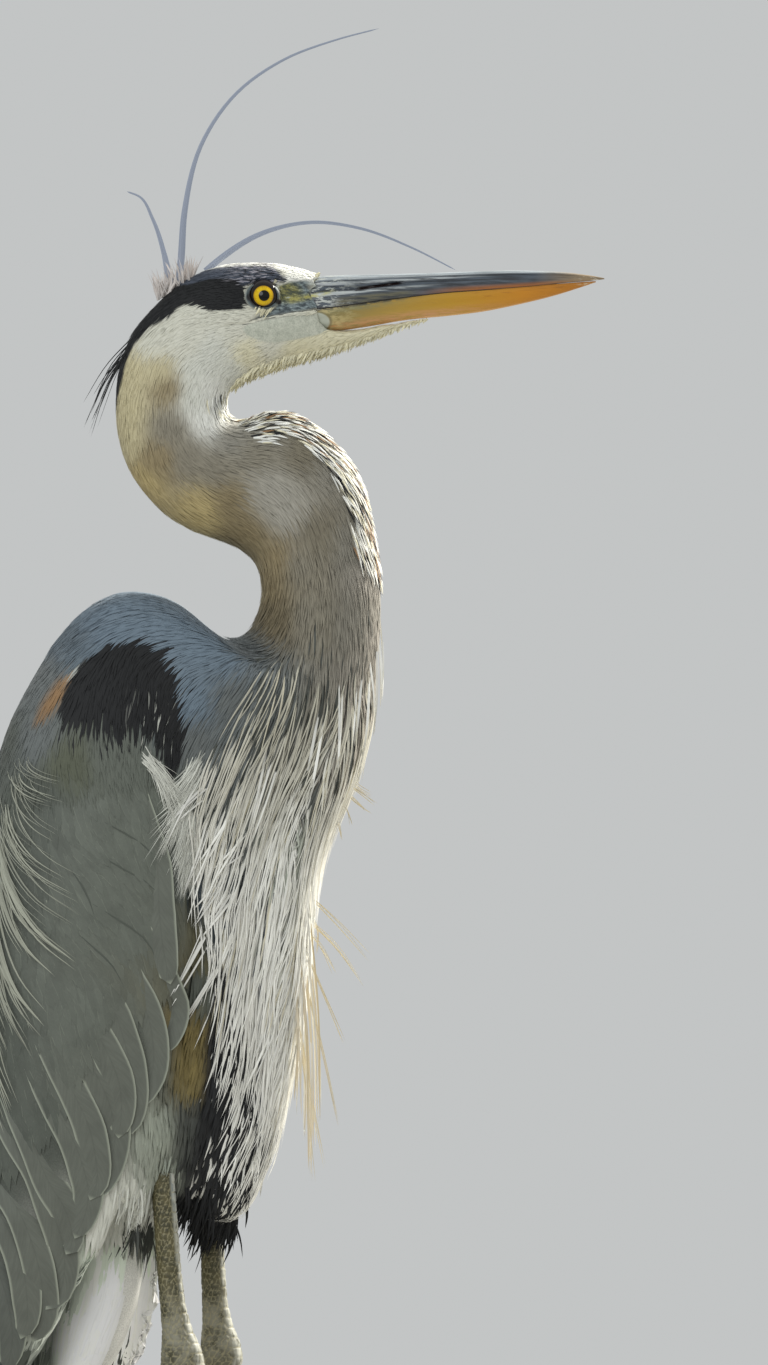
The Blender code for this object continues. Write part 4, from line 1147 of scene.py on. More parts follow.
def patch_edges(hue, middle, tone, rng):
    """The black shoulder's feathers run out over the grey below it, and the grey over it above."""
    shift = rng.uniform(0, 1, len(hue)) ** 1.5
    moved = middle.copy()
    moved[:, 2] += 13 * shift - 2
    moved[:, 0] += 3 * shift
    sides = step(np.abs(middle[:, 1]), *FLANKS)
    black = step(inside(SHOULDER_PATCH, moved), -0.5, 0.5) * sides
    black = np.maximum(black, step(inside(SHOULDER_PATCH, middle), 0.0, 0.1) * sides)
    hue = hue + (linear("ink") - hue) * black[:, None]
    white = (rng.random(len(hue)) < 0.05) * step(inside(SHOULDER_PATCH, moved), -1, 3)
    white = white * step(middle[:, 2], 528, 508) * step(middle[:, 0], -36, -20)
    return hue + (linear("mist") - hue) * (0.7 * white * sides)[:, None]


for seed, (side, label) in enumerate(SIDES, 16):
    coat(f"mantle_feathers_{label}", lambda p, n: on_mantle(p, n) * ((p[:, 1] > 0) == (side == LEFT)),
         2.0, seed, soft_down, ruffle=4, long=1.3, high=0.36, tint=patch_edges,
         shade=0.05, thick=0.13)

# ---- Streaks of the foreneck -------------------------------------------------------------------
# Down the front of the neck lie longer feathers, each half white and half black or rust, that
# break into chains of streaks from the crease under the throat to the breast.
FRONT_LINE = [
    (20, 668), (24, 663.5), (30, 666), (40, 671), (50, 672), (62, 667), (74, 658), (86, 645),
    (93, 629), (97.6, 604), (100.6, 583), (101, 560), (99, 534),
]


def near_front(points, out):
    x, y, z = points.T
    off = from_line(FRONT_LINE, points)
    ahead = (x + z > 686) & (z > 525)
    reach = 15 - 4 * step(z, 600, 560)
    return (ahead & (off < reach) & (np.abs(y) < 21)).astype(float) * step(off, reach, reach - 4)


STREAKS = (0.0, 0.46, "snow"), (0.46, 0.68, "ink"), (0.68, 0.75, "sienna"), (0.75, 0.9, "ivory")


def streaky(hue, middle, tone, rng):
    """White, black, rust and cream feathers by these shares, and the rest as the neck."""
    kind = rng.random(len(hue))
    for low, high, colour in STREAKS:
        hue[(kind >= low) & (kind < high)] = linear(colour)
    return hue * (0.8 + 0.3 * tone[:, None])


coat("foreneck_streaks", near_front, 2.0, 21, soft_down, rows=5, ruffle=6, long=0.95,
     broad=1.35, high=1.1, tint=streaky, tip=0.3)

# ---- Crest and nape ------------------------------------------------------------------------------
# Two long slate plumes rise from the back of the crown and one arches forward over the bill, out
# of a little tuft of pale down; thin black plumes hang from the nape.
def through(points, rows):
    """A smooth line through a few points, as so many evenly spaced rows."""
    points = np.asarray(points, float)
    far = np.concatenate(([0], np.cumsum(np.linalg.norm(np.diff(points, axis=0), axis=1))))
    return smooth_table(np.column_stack((far, points)), np.linspace(0, far[-1], rows))[:, 1:]


VANE = [(-1, 0.1), (-0.5, 0.7), (0, 1.0), (0.5, 0.7), (1, 0.1), (0, -0.1)]  # as a lock's section


def plumes(name, lines, facing, breadth, thick, colours, finish, profile, section=VANE, seed=0):
    """Free plumes, each through its own few points, flat to the way they face."""
    count, rows = len(lines), len(profile)
    lines = np.stack([through(line, rows) for line in lines])
    out = np.broadcast_to(np.asarray(facing, float).reshape(-1, 1, 3), lines.shape)
    along = unit(np.gradient(lines, axis=1))
    out = unit(out - (out * along).sum(2)[..., None] * along)
    half = np.asarray(breadth, float).reshape(-1, 1) / 2 * profile
    rng = np.random.default_rng(seed)
    at_skin = nearest_uv(lines[:, 0])
    tone = rng.random(count)
    return blades(name, lines, out, half, half * thick, colours, at_skin, section, tone, finish)


def nearest_uv(places):
    """The place on the skin's unwrap nearest to each place."""
    return np.array(
        [CORNER_UV[skin_tree.find_nearest(Vector(place))[2]].mean(0) for place in places]
    )


CREST_TALL = [
    (-6.0, -2.0, 736), (-4.8, -2.0, 747), (-2.8, -2.0, 774), (6.4, -2.0, 809.7),
    (23.7, -1.5, 834.9), (48.9, -1.0, 852.9), (75.4, -0.5, 863.0), (98.6, 0.0, 869.2),
]
CREST_ARCHED = [
    (8, 2.5, 743), (14.6, 3.0, 748.6), (35.7, 4.0, 762.0), (62.2, 5.5, 768.4),
    (88.7, 7.5, 765.3), (115.2, 9.5, 755.4), (138.5, 10.5, 743.6),
]
CREST_SHORT = [
    (-9, 2, 732), (-11.0, 2.0, 740.0), (-13.4, 2.5, 751.4), (-19.4, 3.0, 769.9),
    (-26.0, 3.5, 781.5), (-33.0, 4.0, 784.5),
]
SIDEWAYS = [(0, -1, 0)]

plume_slate = coat_finish("plume_slate", strands=9.0, depth=0.2, bump=0.4, roughness=0.6, root_shade=0.1)
slate_violet = linear((150, 158, 174))
crest_profile = np.interp(np.linspace(0, 1, 40), (0, 0.1, 0.35, 0.8, 1), (1.0, 1.0, 0.62, 0.32, 0.18))
for name, node, line, breadth in (
    ("crest_plume_tall", "crest_tall", CREST_TALL, 3.6),
    ("crest_plume_arched", "crest_arched", CREST_ARCHED, 3.3),
    ("crest_plume_short", "crest_short", CREST_SHORT, 4.2),
):
    crest = plumes(name, [line], SIDEWAYS, [breadth], 0.28, slate_violet[None], plume_slate,
                   crest_profile)
    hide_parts(node)

DOWN_COUNT, NAPE_COUNT = 150, 16
rng = np.random.default_rng(31)
tufts, shades = [], []
for _ in range(DOWN_COUNT):
    x0 = rng.uniform(-17, 1)
    z0 = 741.5 - 0.55 * abs(x0 + 1) ** 1.05
    y0 = rng.uniform(-5.5, 5.5)
    lean = rng.normal(-0.05, 0.28)
    tall = rng.uniform(7, 15)
    start = np.array((x0, y0, z0 - 4))
    end = start + (lean * tall, 0.12 * y0, tall)
    tufts.append([start, (start + end) / 2 + rng.normal(0, 0.5, 3), end])
    shades.append(linear((226, 218, 212)) * rng.uniform(0.65, 1.0))
plumes("crest_down", tufts, SIDEWAYS, rng.uniform(0.4, 1.1, DOWN_COUNT), 0.5, np.array(shades),
       soft_down, np.array([0.6, 1.0, 0.8, 0.5, 0.2]), LOCK, 32)

nape, nape_breadth = [], []
for _ in range(NAPE_COUNT):
    y = rng.normal(0, 2.6)
    z = rng.uniform(698, 716)
    start = np.array((np.interp(z, (698, 716), (-33.5, -25.5)), y, z))
    end = np.array((rng.uniform(-56, -48), y * 1.6, rng.uniform(656, 680)))
    middle = start * 0.5 + end * 0.5 + (-1.2 + rng.normal(0, 0.8), 0, 2)
    nape.append([start, middle, end])
    nape_breadth.append(rng.uniform(0.4, 0.8))
nape_hue = np.repeat(linear("ink")[None], NAPE_COUNT, 0)
nape_piece = plumes("nape_plume_strands", nape, SIDEWAYS, nape_breadth, 0.4, nape_hue, soft_down,
                    np.linspace(1, 0.25, 10), LOCK, 33)
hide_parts("nape_plumes")

# ---- Fringe under the chin -----------------------------------------------------------------------
# The chin's soft cream feathers end in a ragged fringe of short points, that hang free along its
# lower edge from the bill's base to the throat.
def under_chin(points, out):
    x, y, z = points.T
    return ((out[:, 2] < -0.72) & (x > 22) & (x < 134) & (z > 684)).astype(float)


rng = np.random.default_rng(41)
roots, out, _ = scatter(under_chin, 1.25, rng)
long = np.interp(roots[:, 0], (30, 60, 100, 134), (1.0, 1.1, 0.75, 0.4))
long = rng.uniform(2.0, 6.0, len(roots)) * long
way = np.stack((rng.normal(-0.45, 0.18, len(roots)), 0.25 * out[:, 1], np.full(len(roots), -0.9)), 1)
ends = roots + unit(way) * long[:, None]
middles = (roots + ends) / 2 + rng.normal(0, 0.15, roots.shape)
shades = linear("chin") * rng.uniform(0.7, 1.1, (len(roots), 1))
plumes("chin_fringe", np.stack((roots - 0.8 * unit(way), middles, ends), 1), SIDEWAYS,
       rng.uniform(0.8, 1.7, len(roots)), 0.4, shades, face_down,
       np.array([1.0, 0.8, 0.5, 0.2]), LOCK, 42)

# ---- Breast plumes -------------------------------------------------------------------------------
# From the foot of the neck hangs an apron of long narrow plumes, cream to white over grey ones,
# that fall back over the breast and end in loose threads in front of the belly.
BREAST = [
    (44, 545), (60, 560), (101, 580), (108, 530), (100, 500), (92, 477), (78, 447), (70, 399),
    (62, 340), (53, 290), (46, 262), (43, 290), (38, 328), (32, 352), (24, 376), (17, 402),
    (10, 430), (0, 462), (4, 485), (16, 500), (32, 522),
]


def on_breast(points, out):
    return ((inside(BREAST, points) > 0) & (out[:, 0] > -0.75)).astype(float)


def breast_shade(hue, middle, tone, rng):
    """The under plumes, of dark grey and pale ones side by side, and low on the breast away from its front
    a share of them slate-dark as painted shade in the gaps between the white plumes.
    """
    low = step(middle[:, 2], 480, 400)[:, None]
    mixed = np.where((tone < 0.36)[:, None], linear("shade") * 1.15, hue)
    hue = mixed + (hue - mixed) * 0.7 * low
    # A share of the lower under plumes, off the front, painted slate-dark for the shade in the gaps
    # between the white plumes.
    off_front = step(middle[:, 0] - 0.06 * (middle[:, 2] - 300), 50, 36)
    dark = (tone < 0.38) * step(middle[:, 2], 450, 405) * off_front
    return hue + (linear((50, 58, 72)) - hue) * (0.9 * dark)[:, None]


coat("breast_underplumes", on_breast, 3.2, 51, soft_down, rows=6, ruffle=5, long=1.25,
     broad=1.25, high=0.7, tint=breast_shade, tip=0.35)


def pale_threads(hue, middle, tone, rng):
    """Cream at the foot of the neck, whiter lower down."""
    low = step(middle[:, 2], 520, 420)[:, None]
    cream = linear((200, 196, 178))
    pale = cream + (linear("frost") - cream) * low
    pale = np.where((tone > 0.93)[:, None], linear((212, 206, 184)), pale)
    return pale * rng.uniform(0.85, 1.1, (len(hue), 1))


def over_breast(points, out):
    x, y, z = points.T
    here = on_breast(points, out)
    front = step(x + 0.25 * z, 118, 158)
    return here * step(z, 566, 440) * (0.2 + 0.8 * front)


pale_thread = coat_finish("pale_threads", strands=4.0, depth=0.06, bump=0.2, root_shade=0.1)
coat("breast_threads", over_breast, 4.3, 52, pale_thread, rows=9, ruffle=3.5, long=3.1,
     broad=0.95, high=1.25, tint=pale_threads, thick=0.4, tip=0.25, curl=1.8)


def side_of(x, z, side, lift):
    """The point at x and z on one side of the skin, lifted off it."""
    hit = skin_tree.ray_cast(Vector((x, side * 300, z)), Vector((0, -side, 0)))
    at = hit[0] if hit[0] is not None else skin_tree.find_nearest(Vector((x, side * 20, z)))[0]
    return (x, at.y + side * lift, z)


# The longest threads, each from its root to its tip: x and z there, and how far it bows forwards.
LONG_THREADS = [
    (62, 470, 66, 418, 2), (60, 460, 62.8, 399, 1), (62, 450, 62, 384, 2), (58, 440, 59.8, 362, 2),
    (58, 430, 55, 340, 3), (54, 420, 51.6, 328, 2), (52, 410, 47.8, 312, 2), (50, 400, 43.4, 296, 3),
    (48, 390, 39, 280, 3), (44, 380, 33.5, 264, 2), (56, 400, 62.8, 272, 2), (57, 410, 60, 290, 2),
    (55, 395, 57, 300, 1), (54, 390, 55, 310, 2), (58, 400, 65, 285, 2), (60, 405, 68, 300, 2),
    (20, 420, -9, 360, 1), (24, 400, -4, 352, 1), (30, 420, 10, 360, 1), (22, 440, 2, 402, 1),
    (26, 430, 6, 394, 1), (12, 478, -13, 444, -1), (16, 470, -2, 416, 1), (20, 462, 2, 402, 1),
    (34, 410, 16, 330, 2), (36, 400, 20, 300, 2), (38, 400, 12, 312, 2), (40, 390, 24, 296, 2),
    (30, 390, 7, 296, 3), (48, 372, 28, 310, 2), (28, 470, 6, 430, 1), (34, 460, 12, 420, 1),
    (44, 470, 24, 400, 1), (50, 470, 32, 390, 1), (56, 470, 42, 380, 1), (46, 500, 30, 440, 1),
    (70, 520, 56, 440, 1), (80, 530, 72, 450, 2), (88, 535, 80, 462, 2), (92, 540, 87, 474, 2),
    (96, 545, 95, 500, 1), (98, 560, 98, 512, 1),
]
STRAYS = [  # x and z of root, middle and tip of the plumes that stand off in front
    (60, 420, 80, 400, 94.1, 385), (58, 408, 76, 392, 88.9, 371.8), (58, 400, 70, 366, 80, 341.8),
    (58, 392, 68, 340, 77.7, 297.8), (56, 384, 62, 320, 71, 279), (57, 380, 60, 320, 62.8, 269.5),
    (58, 404, 68, 392, 76, 378), (60, 412, 66, 402, 67, 388), (80, 476, 90, 471, 96, 466),
    (80, 474, 86, 468, 92, 462), (78, 470, 82, 462, 84, 455), (74, 466, 77, 456, 79, 447),
    (70, 462, 73, 452, 73, 445), (84, 480, 88, 474, 94, 470),
]
rng = np.random.default_rng(53)
threads, thread_breadth, thread_hue = [], [], []
for side in (RIGHT, LEFT):
    for x0, z0, x1, z1, bow in LONG_THREADS:
        for _ in range(2 if x1 > 50 else 4):
            dx, dz = rng.normal(0, 2.4), rng.normal(0, 5)
            ex, ez = rng.normal(0, 1.4), abs(rng.normal(0, 7))
            start = side_of(x0 + dx, z0 + dz, side, -1.0)
            mx, mz = (x0 + x1 + dx + ex) / 2 + bow, (z0 + z1 + dz + ez) / 2
            middle = side_of(mx, mz, side, 4.5)
            tip = side_of(x1 + ex, z1 + ez, side, rng.uniform(2, 5))
            if x1 > 50:
                tip = (tip[0], side * rng.uniform(0, 9), tip[2])
            threads.append([start, middle, tip])
            thread_breadth.append(rng.uniform(0.7, 1.5))
            gold = 0.9 * (z1 < 330) * (x1 > 50) * rng.random()
            shade = linear("frost") * (1 - gold) + linear((216, 192, 140)) * gold
            thread_hue.append(shade * rng.uniform(0.75, 1.1))
for x0, z0, mx, mz, x1, z1 in STRAYS:
    for _ in range(3):
        y = rng.normal(0, 3)
        ex, ez = rng.normal(0, 1.0, 2)
        threads.append([(x0 - 4, y, z0 + 4), (mx, y * 1.3, mz + ez), (x1 + ex, y * 1.6, z1 + ez)])
        thread_breadth.append(rng.uniform(0.35, 0.8))
        thread_hue.append(linear((226, 214, 184)) * rng.uniform(0.8, 1.05))
loose = plumes("loose_threads", threads, SIDEWAYS, thread_breadth, 0.45, np.array(thread_hue), pale_thread,
               np.interp(np.linspace(0, 1, 14), (0, 0.3, 0.8, 1), (0.7, 1.0, 0.7, 0.2)),
               LOCK, 54)
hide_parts(*[f"stray_plume_{k}" for k in range(1, 7)])

# ---- White tuft at the bend of the wing ----------------------------------------------------------
# Where the neck's side meets the folded wing, soft white plumes come out from under the shoulder
# in two branches that meet and run down between wing and breast.
TUFTS = [  # from x, z to x, z, and how many
    (-25, 493, -7, 470, 34), (-20, 490, -4, 462, 26), (6, 491, -9, 468, 40), (9, 486, -11, 456, 30),
    (-4, 474, -10, 446, 40), (2, 474, -6, 440, 46), (0, 458, -4, 430, 40), (4, 462, -2, 424, 30),
    (-2, 446, -2, 420, 26), (4, 480, -16, 440, 16),
]
rng = np.random.default_rng(61)
white_tufts = []
for side in (RIGHT, LEFT):
    for x0, z0, x1, z1, count in TUFTS:
        for _ in range(int(1.7 * count)):
            a, b = rng.normal(0, 2.2, 2), rng.normal(0, 3.4, 2)
            start = side_of(x0 + a[0], z0 + a[1], side, -0.5)
            end = side_of(x1 + b[0], z1 + b[1], side, rng.uniform(1.5, 4.5))
            middle = side_of((x0 + x1 + a[0] + b[0]) / 2 + 1.5, (z0 + z1 + a[1] + b[1]) / 2, side, 3.4)
            white_tufts.append([start, middle, end])
count = len(white_tufts)
plumes("side_tufts", white_tufts, SIDEWAYS, rng.uniform(0.25, 0.7, count), 0.5,
       linear("mist") * rng.uniform(0.6, 1.15, (count, 1)), pale_thread,
       np.array([0.7, 1.0, 0.95, 0.8, 0.6, 0.25]), LOCK, 62)

# ---- Wing coverts --------------------------------------------------------------------------------
# The folded wing is shingled with smooth round-ended feathers, each a firm vane on a fine shaft
# with a thin pale edge, each row lying over the next one forwards and down.
def vane_finish(name, edge, shaft):
    """A firm vane: fine barbs slanting off a shaft with painted sheen on them, a pale edge, and its own
    colour.
    """
    finish, v = new_finish(name, roughness=0.62, Sheen_Weight=0.1, Sheen_Roughness=0.4)
    across, along, tone = v.attribute("across"), v.attribute("along"), v.attribute("tone")
    off = across.math("ABSOLUTE")
    where = v.node(
        "ShaderNodeCombineXYZ", None, {0: (along - off * 0.12) * 60.0, 1: off * 1.4, 2: tone * 71.0}
    )
    barbs = v.noise(where, 1.0, 2.0, 0.6)
    cloudy = v.noise(v.place(), 75.0, 2.0, 0.5)
    hue = v.attribute("hue", output=0)
    darker, painted_sheen = dark_and_light(v, hue, 0.55, 0.30)
    # Painted sheen on the barbs.
    base = (barbs.between(0.3, 0.7) * 0.6).mix(hue, painted_sheen)
    base = ((1.0 - cloudy.between(0.3, 0.6)) * 0.25).mix(base, darker)
    base = ((1.0 - off.between(0.02, 0.07)) * shaft).mix(base, darker)
    rim = off.between(0.80, 0.97).math("MAXIMUM", along.between(0.975, 1.0))
    base = (rim * edge).mix(base, shade_of(176, 182, 164))
    connect(finish, Base_Color=base, Normal=v.bump(barbs, 0.25, 0.0002))
    return finish


covert_finish = vane_finish("covert_vanes", edge=0.16, shaft=0.08)

# The coverts end along this line.
COVERT_END_X = (6, 0, -24, -46, -62, -82, -98, -112, -140)
COVERT_END_Z = (440, 392, 384, 372, 350, 322, 300, 280, 250)


def on_wing(points, out):
    x, y, z = points.T
    end = np.interp(-x, np.negative(COVERT_END_X), COVERT_END_Z)
    return ((x <= 2) & (z <= seam("shoulder", x)) & (z > end) & (np.abs(y) > 3)).astype(float)


for side, label in SIDES:
    coat(f"wing_coverts_{label}",
         lambda p, n: on_wing(p, n) * (p[:, 1] * side > 0) * (n[:, 1] * side > -0.3),
         3.7, 71 + side, covert_finish, rows=6, ruffle=3, long=1.8, broad=2.2, high=0.3,
         shade=0.09, thick=0.045, tip=0.5)

# ---- Painted shadows under the edges of the large coverts ----------------------------------------
# The largest coverts of the shoulder lie slantwise over the rest, and the shade under their lower edges is
# painted as soft dark lines, each a narrow dark lock that runs out thin at both ends.
COVERT_EDGE_SHADOWS = [  # x and z along each edge
    [(-47, 441), (-38, 435.5), (-28, 430), (-19, 424), (-13, 416)],
    [(-49, 415), (-38, 408), (-28, 401.5), (-20, 394), (-16, 384)],
    [(-43, 457), (-33, 451.5), (-23, 445), (-15, 437)],
    [(-60, 432), (-55, 425), (-51, 417), (-48, 408)],
    [(-56, 399), (-47, 391), (-39, 383), (-33, 372)],
]
EDGE_LIFT = 0.9  # over the skin
FLAT_TO_WING = 0.12, -0.05  # how a feather's face leans on the wing's side: forwards and up
for side, label in SIDES:
    shadow_lines = [[side_of(x, z, side, EDGE_LIFT) for x, z in edge] for edge in COVERT_EDGE_SHADOWS]
    n = len(shadow_lines)
    facing = [(FLAT_TO_WING[0], side, FLAT_TO_WING[1])]
    # A soft dark line of painted shadow under each covert's edge.
    plumes(f"covert_edge_shadows_{label}", shadow_lines, facing, np.full(n, 0.95), 0.07,
           np.tile(linear((83, 88, 80)), (n, 1)), soft_down,
           np.array([0.15, 0.6, 1.0, 1.0, 0.8, 0.5, 0.15]), LOCK, 98 + side)

# ---- Quills of the folded wing -------------------------------------------------------------------
# Long blue-grey tertials and secondaries fan along the wing's lower edge, each bowed, with a
# rounded end and a pale edge; the dark primaries end behind them at the wing's tip.
EDGES = [  # how the front edge of each quill runs, x and z from above down to its tip
    [(-14, 456), (-9.5, 437), (-9, 412), (-7.5, 390), (-5, 374)],
    [(-3, 372), (-1, 359), (-5, 346), (-10, 336)],
    [(-23, 380), (-15.7, 364), (-12, 344), (-12.7, 330), (-18.6, 315), (-24.5, 307)],
    [(-42.5, 377), (-33, 365), (-27, 347), (-23.6, 330), (-23, 312), (-25.6, 301), (-32, 292)],
    [(-42.5, 356), (-35, 340), (-29.5, 322), (-29.5, 306), (-32, 293)],
    [(-46, 340), (-40, 328), (-34, 312), (-32, 293), (-35, 280), (-41, 267), (-47, 260)],
    [(-59, 334), (-52, 319), (-45, 301), (-42.5, 286), (-42.5, 270), (-47, 260)],
    [(-61, 312), (-53, 296), (-48, 280), (-46, 265), (-49, 252), (-55, 240)],
    [(-72, 291), (-65, 273), (-58, 260), (-55, 247), (-56, 236), (-60, 231)],
    [(-81.5, 296), (-72, 280), (-65, 260), (-59, 240), (-59, 223), (-63, 210), (-71, 202)],
    [(-93, 278), (-81.5, 260), (-74, 239), (-70, 218), (-70, 200), (-77, 186)],
    [(-98, 270), (-88, 252), (-80, 231), (-78, 213), (-79, 197), (-83, 188)],
    [(-103, 250), (-94, 232), (-88, 212), (-86, 190), (-90, 172)],
    [(-108, 240), (-98, 218), (-92, 196), (-92, 172), (-96, 154)],
    [(-112, 226), (-104, 204), (-98, 180), (-98, 156), (-102, 138)],
    [(-116, 214), (-109, 190), (-104, 164), (-104, 140), (-108, 122)],
    [(-119, 200), (-114, 176), (-110, 150), (-110, 128), (-113, 114)],
]
COVERTS = 1  # the first is a long covert
PRIMARIES = 10  # quills from this one on lie closer under the rest
QUILL_BROAD, QUILL_ROOT = 17.0, (-22, 46)  # and from an edge's upper end to where the quill grows
quill_finish = vane_finish("quill_vanes", edge=0.6, shaft=0.2)
quill_profile = np.interp(
    np.linspace(0, 1, 28), (0, 0.3, 0.7, 0.84, 0.92, 0.965, 1), (0.35, 0.8, 1.0, 0.93, 0.76, 0.52, 0.15)
)
for side, label in SIDES:
    quills, quill_hue = [], []
    for k, edge in enumerate(EDGES):
        edge = np.array(edge, float)
        run = unit(np.gradient(edge, axis=0))
        inward = np.stack((run[:, 1], -run[:, 0]), 1)
        inward[inward[:, 0] > 0] *= -1
        middle_line = edge + inward * (QUILL_BROAD * 0.46) * np.linspace(1, 0.55, len(edge))[:, None]
        root = middle_line[0] + np.array(QUILL_ROOT) * (1.0 if k < PRIMARIES else (0.35, 1.0))
        if k < COVERTS:
            root = middle_line[0] - run[0] * 40
        line = np.concatenate(([root], middle_line))
        lift = 0.8 + 0.5 * (k - COVERTS) if k >= COVERTS else 2.3
        reach = np.linspace(-0.5, 1, len(line))
        quills.append([side_of(x, z, side, max(lift * r, -0.4) + 0.3) for (x, z), r in zip(line, reach)])
        dark = step(k, PRIMARIES + 1, PRIMARIES + 4)
        quill_hue.append(linear((98, 102, 93)) * (1 - dark) + linear((52, 58, 60)) * dark)
    n = len(quills)
    facing = [(FLAT_TO_WING[0], side, FLAT_TO_WING[1])]
    plumes(f"wing_quills_{label}", quills, facing, np.full(n, QUILL_BROAD), 0.07,
           np.array(quill_hue), quill_finish, quill_profile, VANE, 74 + side)

# ---- Cape of the back ----------------------------------------------------------------------------
# Long narrow slate plumes grow from the shoulders and lie down the middle of the back, over the
# cleft between the folded wings.
def relax_line(values):
    """The values with each dip between two neighbours bridged."""
    values = np.array(values)
    for _ in range(6):
        values[1:-1] = np.minimum(values[1:-1], (values[:-2] + values[2:]) / 2)
    return values


def behind(y, z):
    """The point at y and z on the back, level with its rearmost skin within a finger's breadth."""
    rear = []
    for beside in (y - 14, y, y + 14):
        hit = skin_tree.ray_cast(Vector((-300, beside, z)), Vector((1, 0, 0)))[0]
        rear.append(hit.x if hit is not None else -60)
    return np.array((min(rear), y, z))


CAPE_COUNT = 420
rng = np.random.default_rng(77)
cape, cape_breadth, cape_hue = [], [], []
for _ in range(CAPE_COUNT):
    y = rng.uniform(-30, 30)
    z = rng.uniform(340, 520) - 0.6 * abs(y)
    long = rng.uniform(60, 95)
    reach = np.linspace(0, 1, 6)
    line = np.array([behind(y * (1 - 0.35 * r), z - long * r) for r in reach])
    line[:, 0] = relax_line(line[:, 0])
    line[:, 0] -= -0.4 + 2.2 * reach**0.7
    cape.append(line)
    cape_breadth.append(rng.uniform(3.0, 5.0))
    cape_hue.append(markings(line[2:3])[0] * rng.uniform(0.9, 1.15))
BACKWARDS = [(-1, 0, 0)]
cape_profile = np.interp(np.linspace(0, 1, 9), (0, 0.3, 0.8, 1), (0.5, 1.0, 0.7, 0.15))
plumes("back_cape", cape, BACKWARDS, cape_breadth, 0.08, np.array(cape_hue), covert_finish,
       cape_profile, LOCK, 78)

# ---- Plumes over the back ------------------------------------------------------------------------
# Narrow pale plumes grow from the shoulders' rear and droop over the wing, thin and separate. Each
# stands with three finer ones beside it.
BACK_PLUMES = [  # x, z of root, x, z of tip, and breadth
    (-92, 483, -73, 467, 0.9), (-92, 481, -75, 454, 0.9), (-95, 472, -76, 435, 1.0),
    (-88, 484, -68, 470, 0.8), (-90, 478, -69, 447, 0.9), (-95, 468, -73, 426, 1.0),
    (-94, 474, -63, 428, 1.0), (-96, 470, -59, 420, 1.1), (-97, 466, -58, 404, 1.2),
    (-98, 462, -58, 385, 3.0), (-98, 455, -71, 396, 1.4), (-100, 450, -85, 390, 1.6),
    (-99, 446, -70, 379, 2.6), (-101, 430, -74, 352, 3.0), (-102, 440, -81, 354, 2.4),
    (-103, 425, -83, 341, 2.6), (-105, 420, -94, 349, 2.0), (-106, 415, -93, 339, 2.0),
    (-107, 400, -91, 310, 2.4), (-108, 390, -95, 296, 2.4), (-110, 380, -104, 290, 2.4),
    (-84, 490, -66, 478, 0.8), (-110, 430, -108, 350, 2.2), (-112, 410, -112, 320, 2.4),
]
back_profile = np.interp(np.linspace(0, 1, 16), (0, 0.35, 0.75, 1), (0.5, 1.0, 0.6, 0.12))
rng = np.random.default_rng(81)
back_lines, back_breadth = [], []
for side in (RIGHT, LEFT):
    for x0, z0, x1, z1, broad in BACK_PLUMES:
        for copy in range(4):
            dx, dz = rng.normal(0, 3.0 * (copy > 0)), rng.normal(0, 6 * (copy > 0))
            x0s, z0s, x1s, z1s = x0 + dx, z0 + dz, x1 + dx * 0.8, z1 + dz
            start = side_of(x0s, z0s, side, 0.2)
            quarter = side_of(x0s + 0.10 * (x1s - x0s), z0s + 0.42 * (z1s - z0s), side, 4.0)
            late = side_of(x0s + 0.48 * (x1s - x0s), z0s + 0.78 * (z1s - z0s), side, 5.5)
            back_lines.append([start, quarter, late, side_of(x1s, z1s, side, 5.0)])
            back_breadth.append(broad * (0.8 if copy == 0 else 0.38))
count = len(back_lines)
plumes("back_plumes", back_lines, SIDEWAYS, back_breadth, 0.3,
       linear((166, 168, 152)) * rng.uniform(0.7, 1.15, (count, 1)), soft_down,
       back_profile, LOCK, 82)

# ---- Belly, thighs and vent ----------------------------------------------------------------------
# Black and white lancet feathers hang in front of the belly, rusty ones under the wing's edge, soft
# pale grey ones over the right thigh, and long white coverts under the tail.
def below_breast(points, out):
    x, y, z = points.T
    off_breast = inside(BREAST, points) <= 0
    belly = (z <= 345) & (x > -50) & (x < 60) & (np.abs(y) < 58)
    return (off_breast & ((x > 2) & (z <= 450) | belly) & ((z > 256) | (x > -8))).astype(float)


def lancets(hue, middle, tone, rng):
    """Black with white between in front, and plain over the thighs."""
    x, y, z = middle.T
    front = step(x - 0.1 * (z - 300), 2, 9)
    streak = 0.5 + 0.5 * np.sin(x * 0.55 + z * 0.16 + np.sign(y) * 0.8)
    white = (tone + 0.5 * streak > 0.95) * (z > 258) * (z < 350) * (x > 30 - 0.49 * (335 - z))
    black = linear("ink") * rng.uniform(0.7, 2.4, (len(x), 1))
    lancet = np.where(white[:, None].astype(bool), linear("frost"), black)
    return hue + (lancet - hue) * front[:, None]


coat("belly_coat", below_breast, 2.6, 91, soft_down, rows=5, ruffle=5, long=1.35,
     broad=1.7, high=1.0, tint=lancets, tip=0.3)

rng = np.random.default_rng(93)
fringe, fringe_hue, fringe_breadth = [], [], []
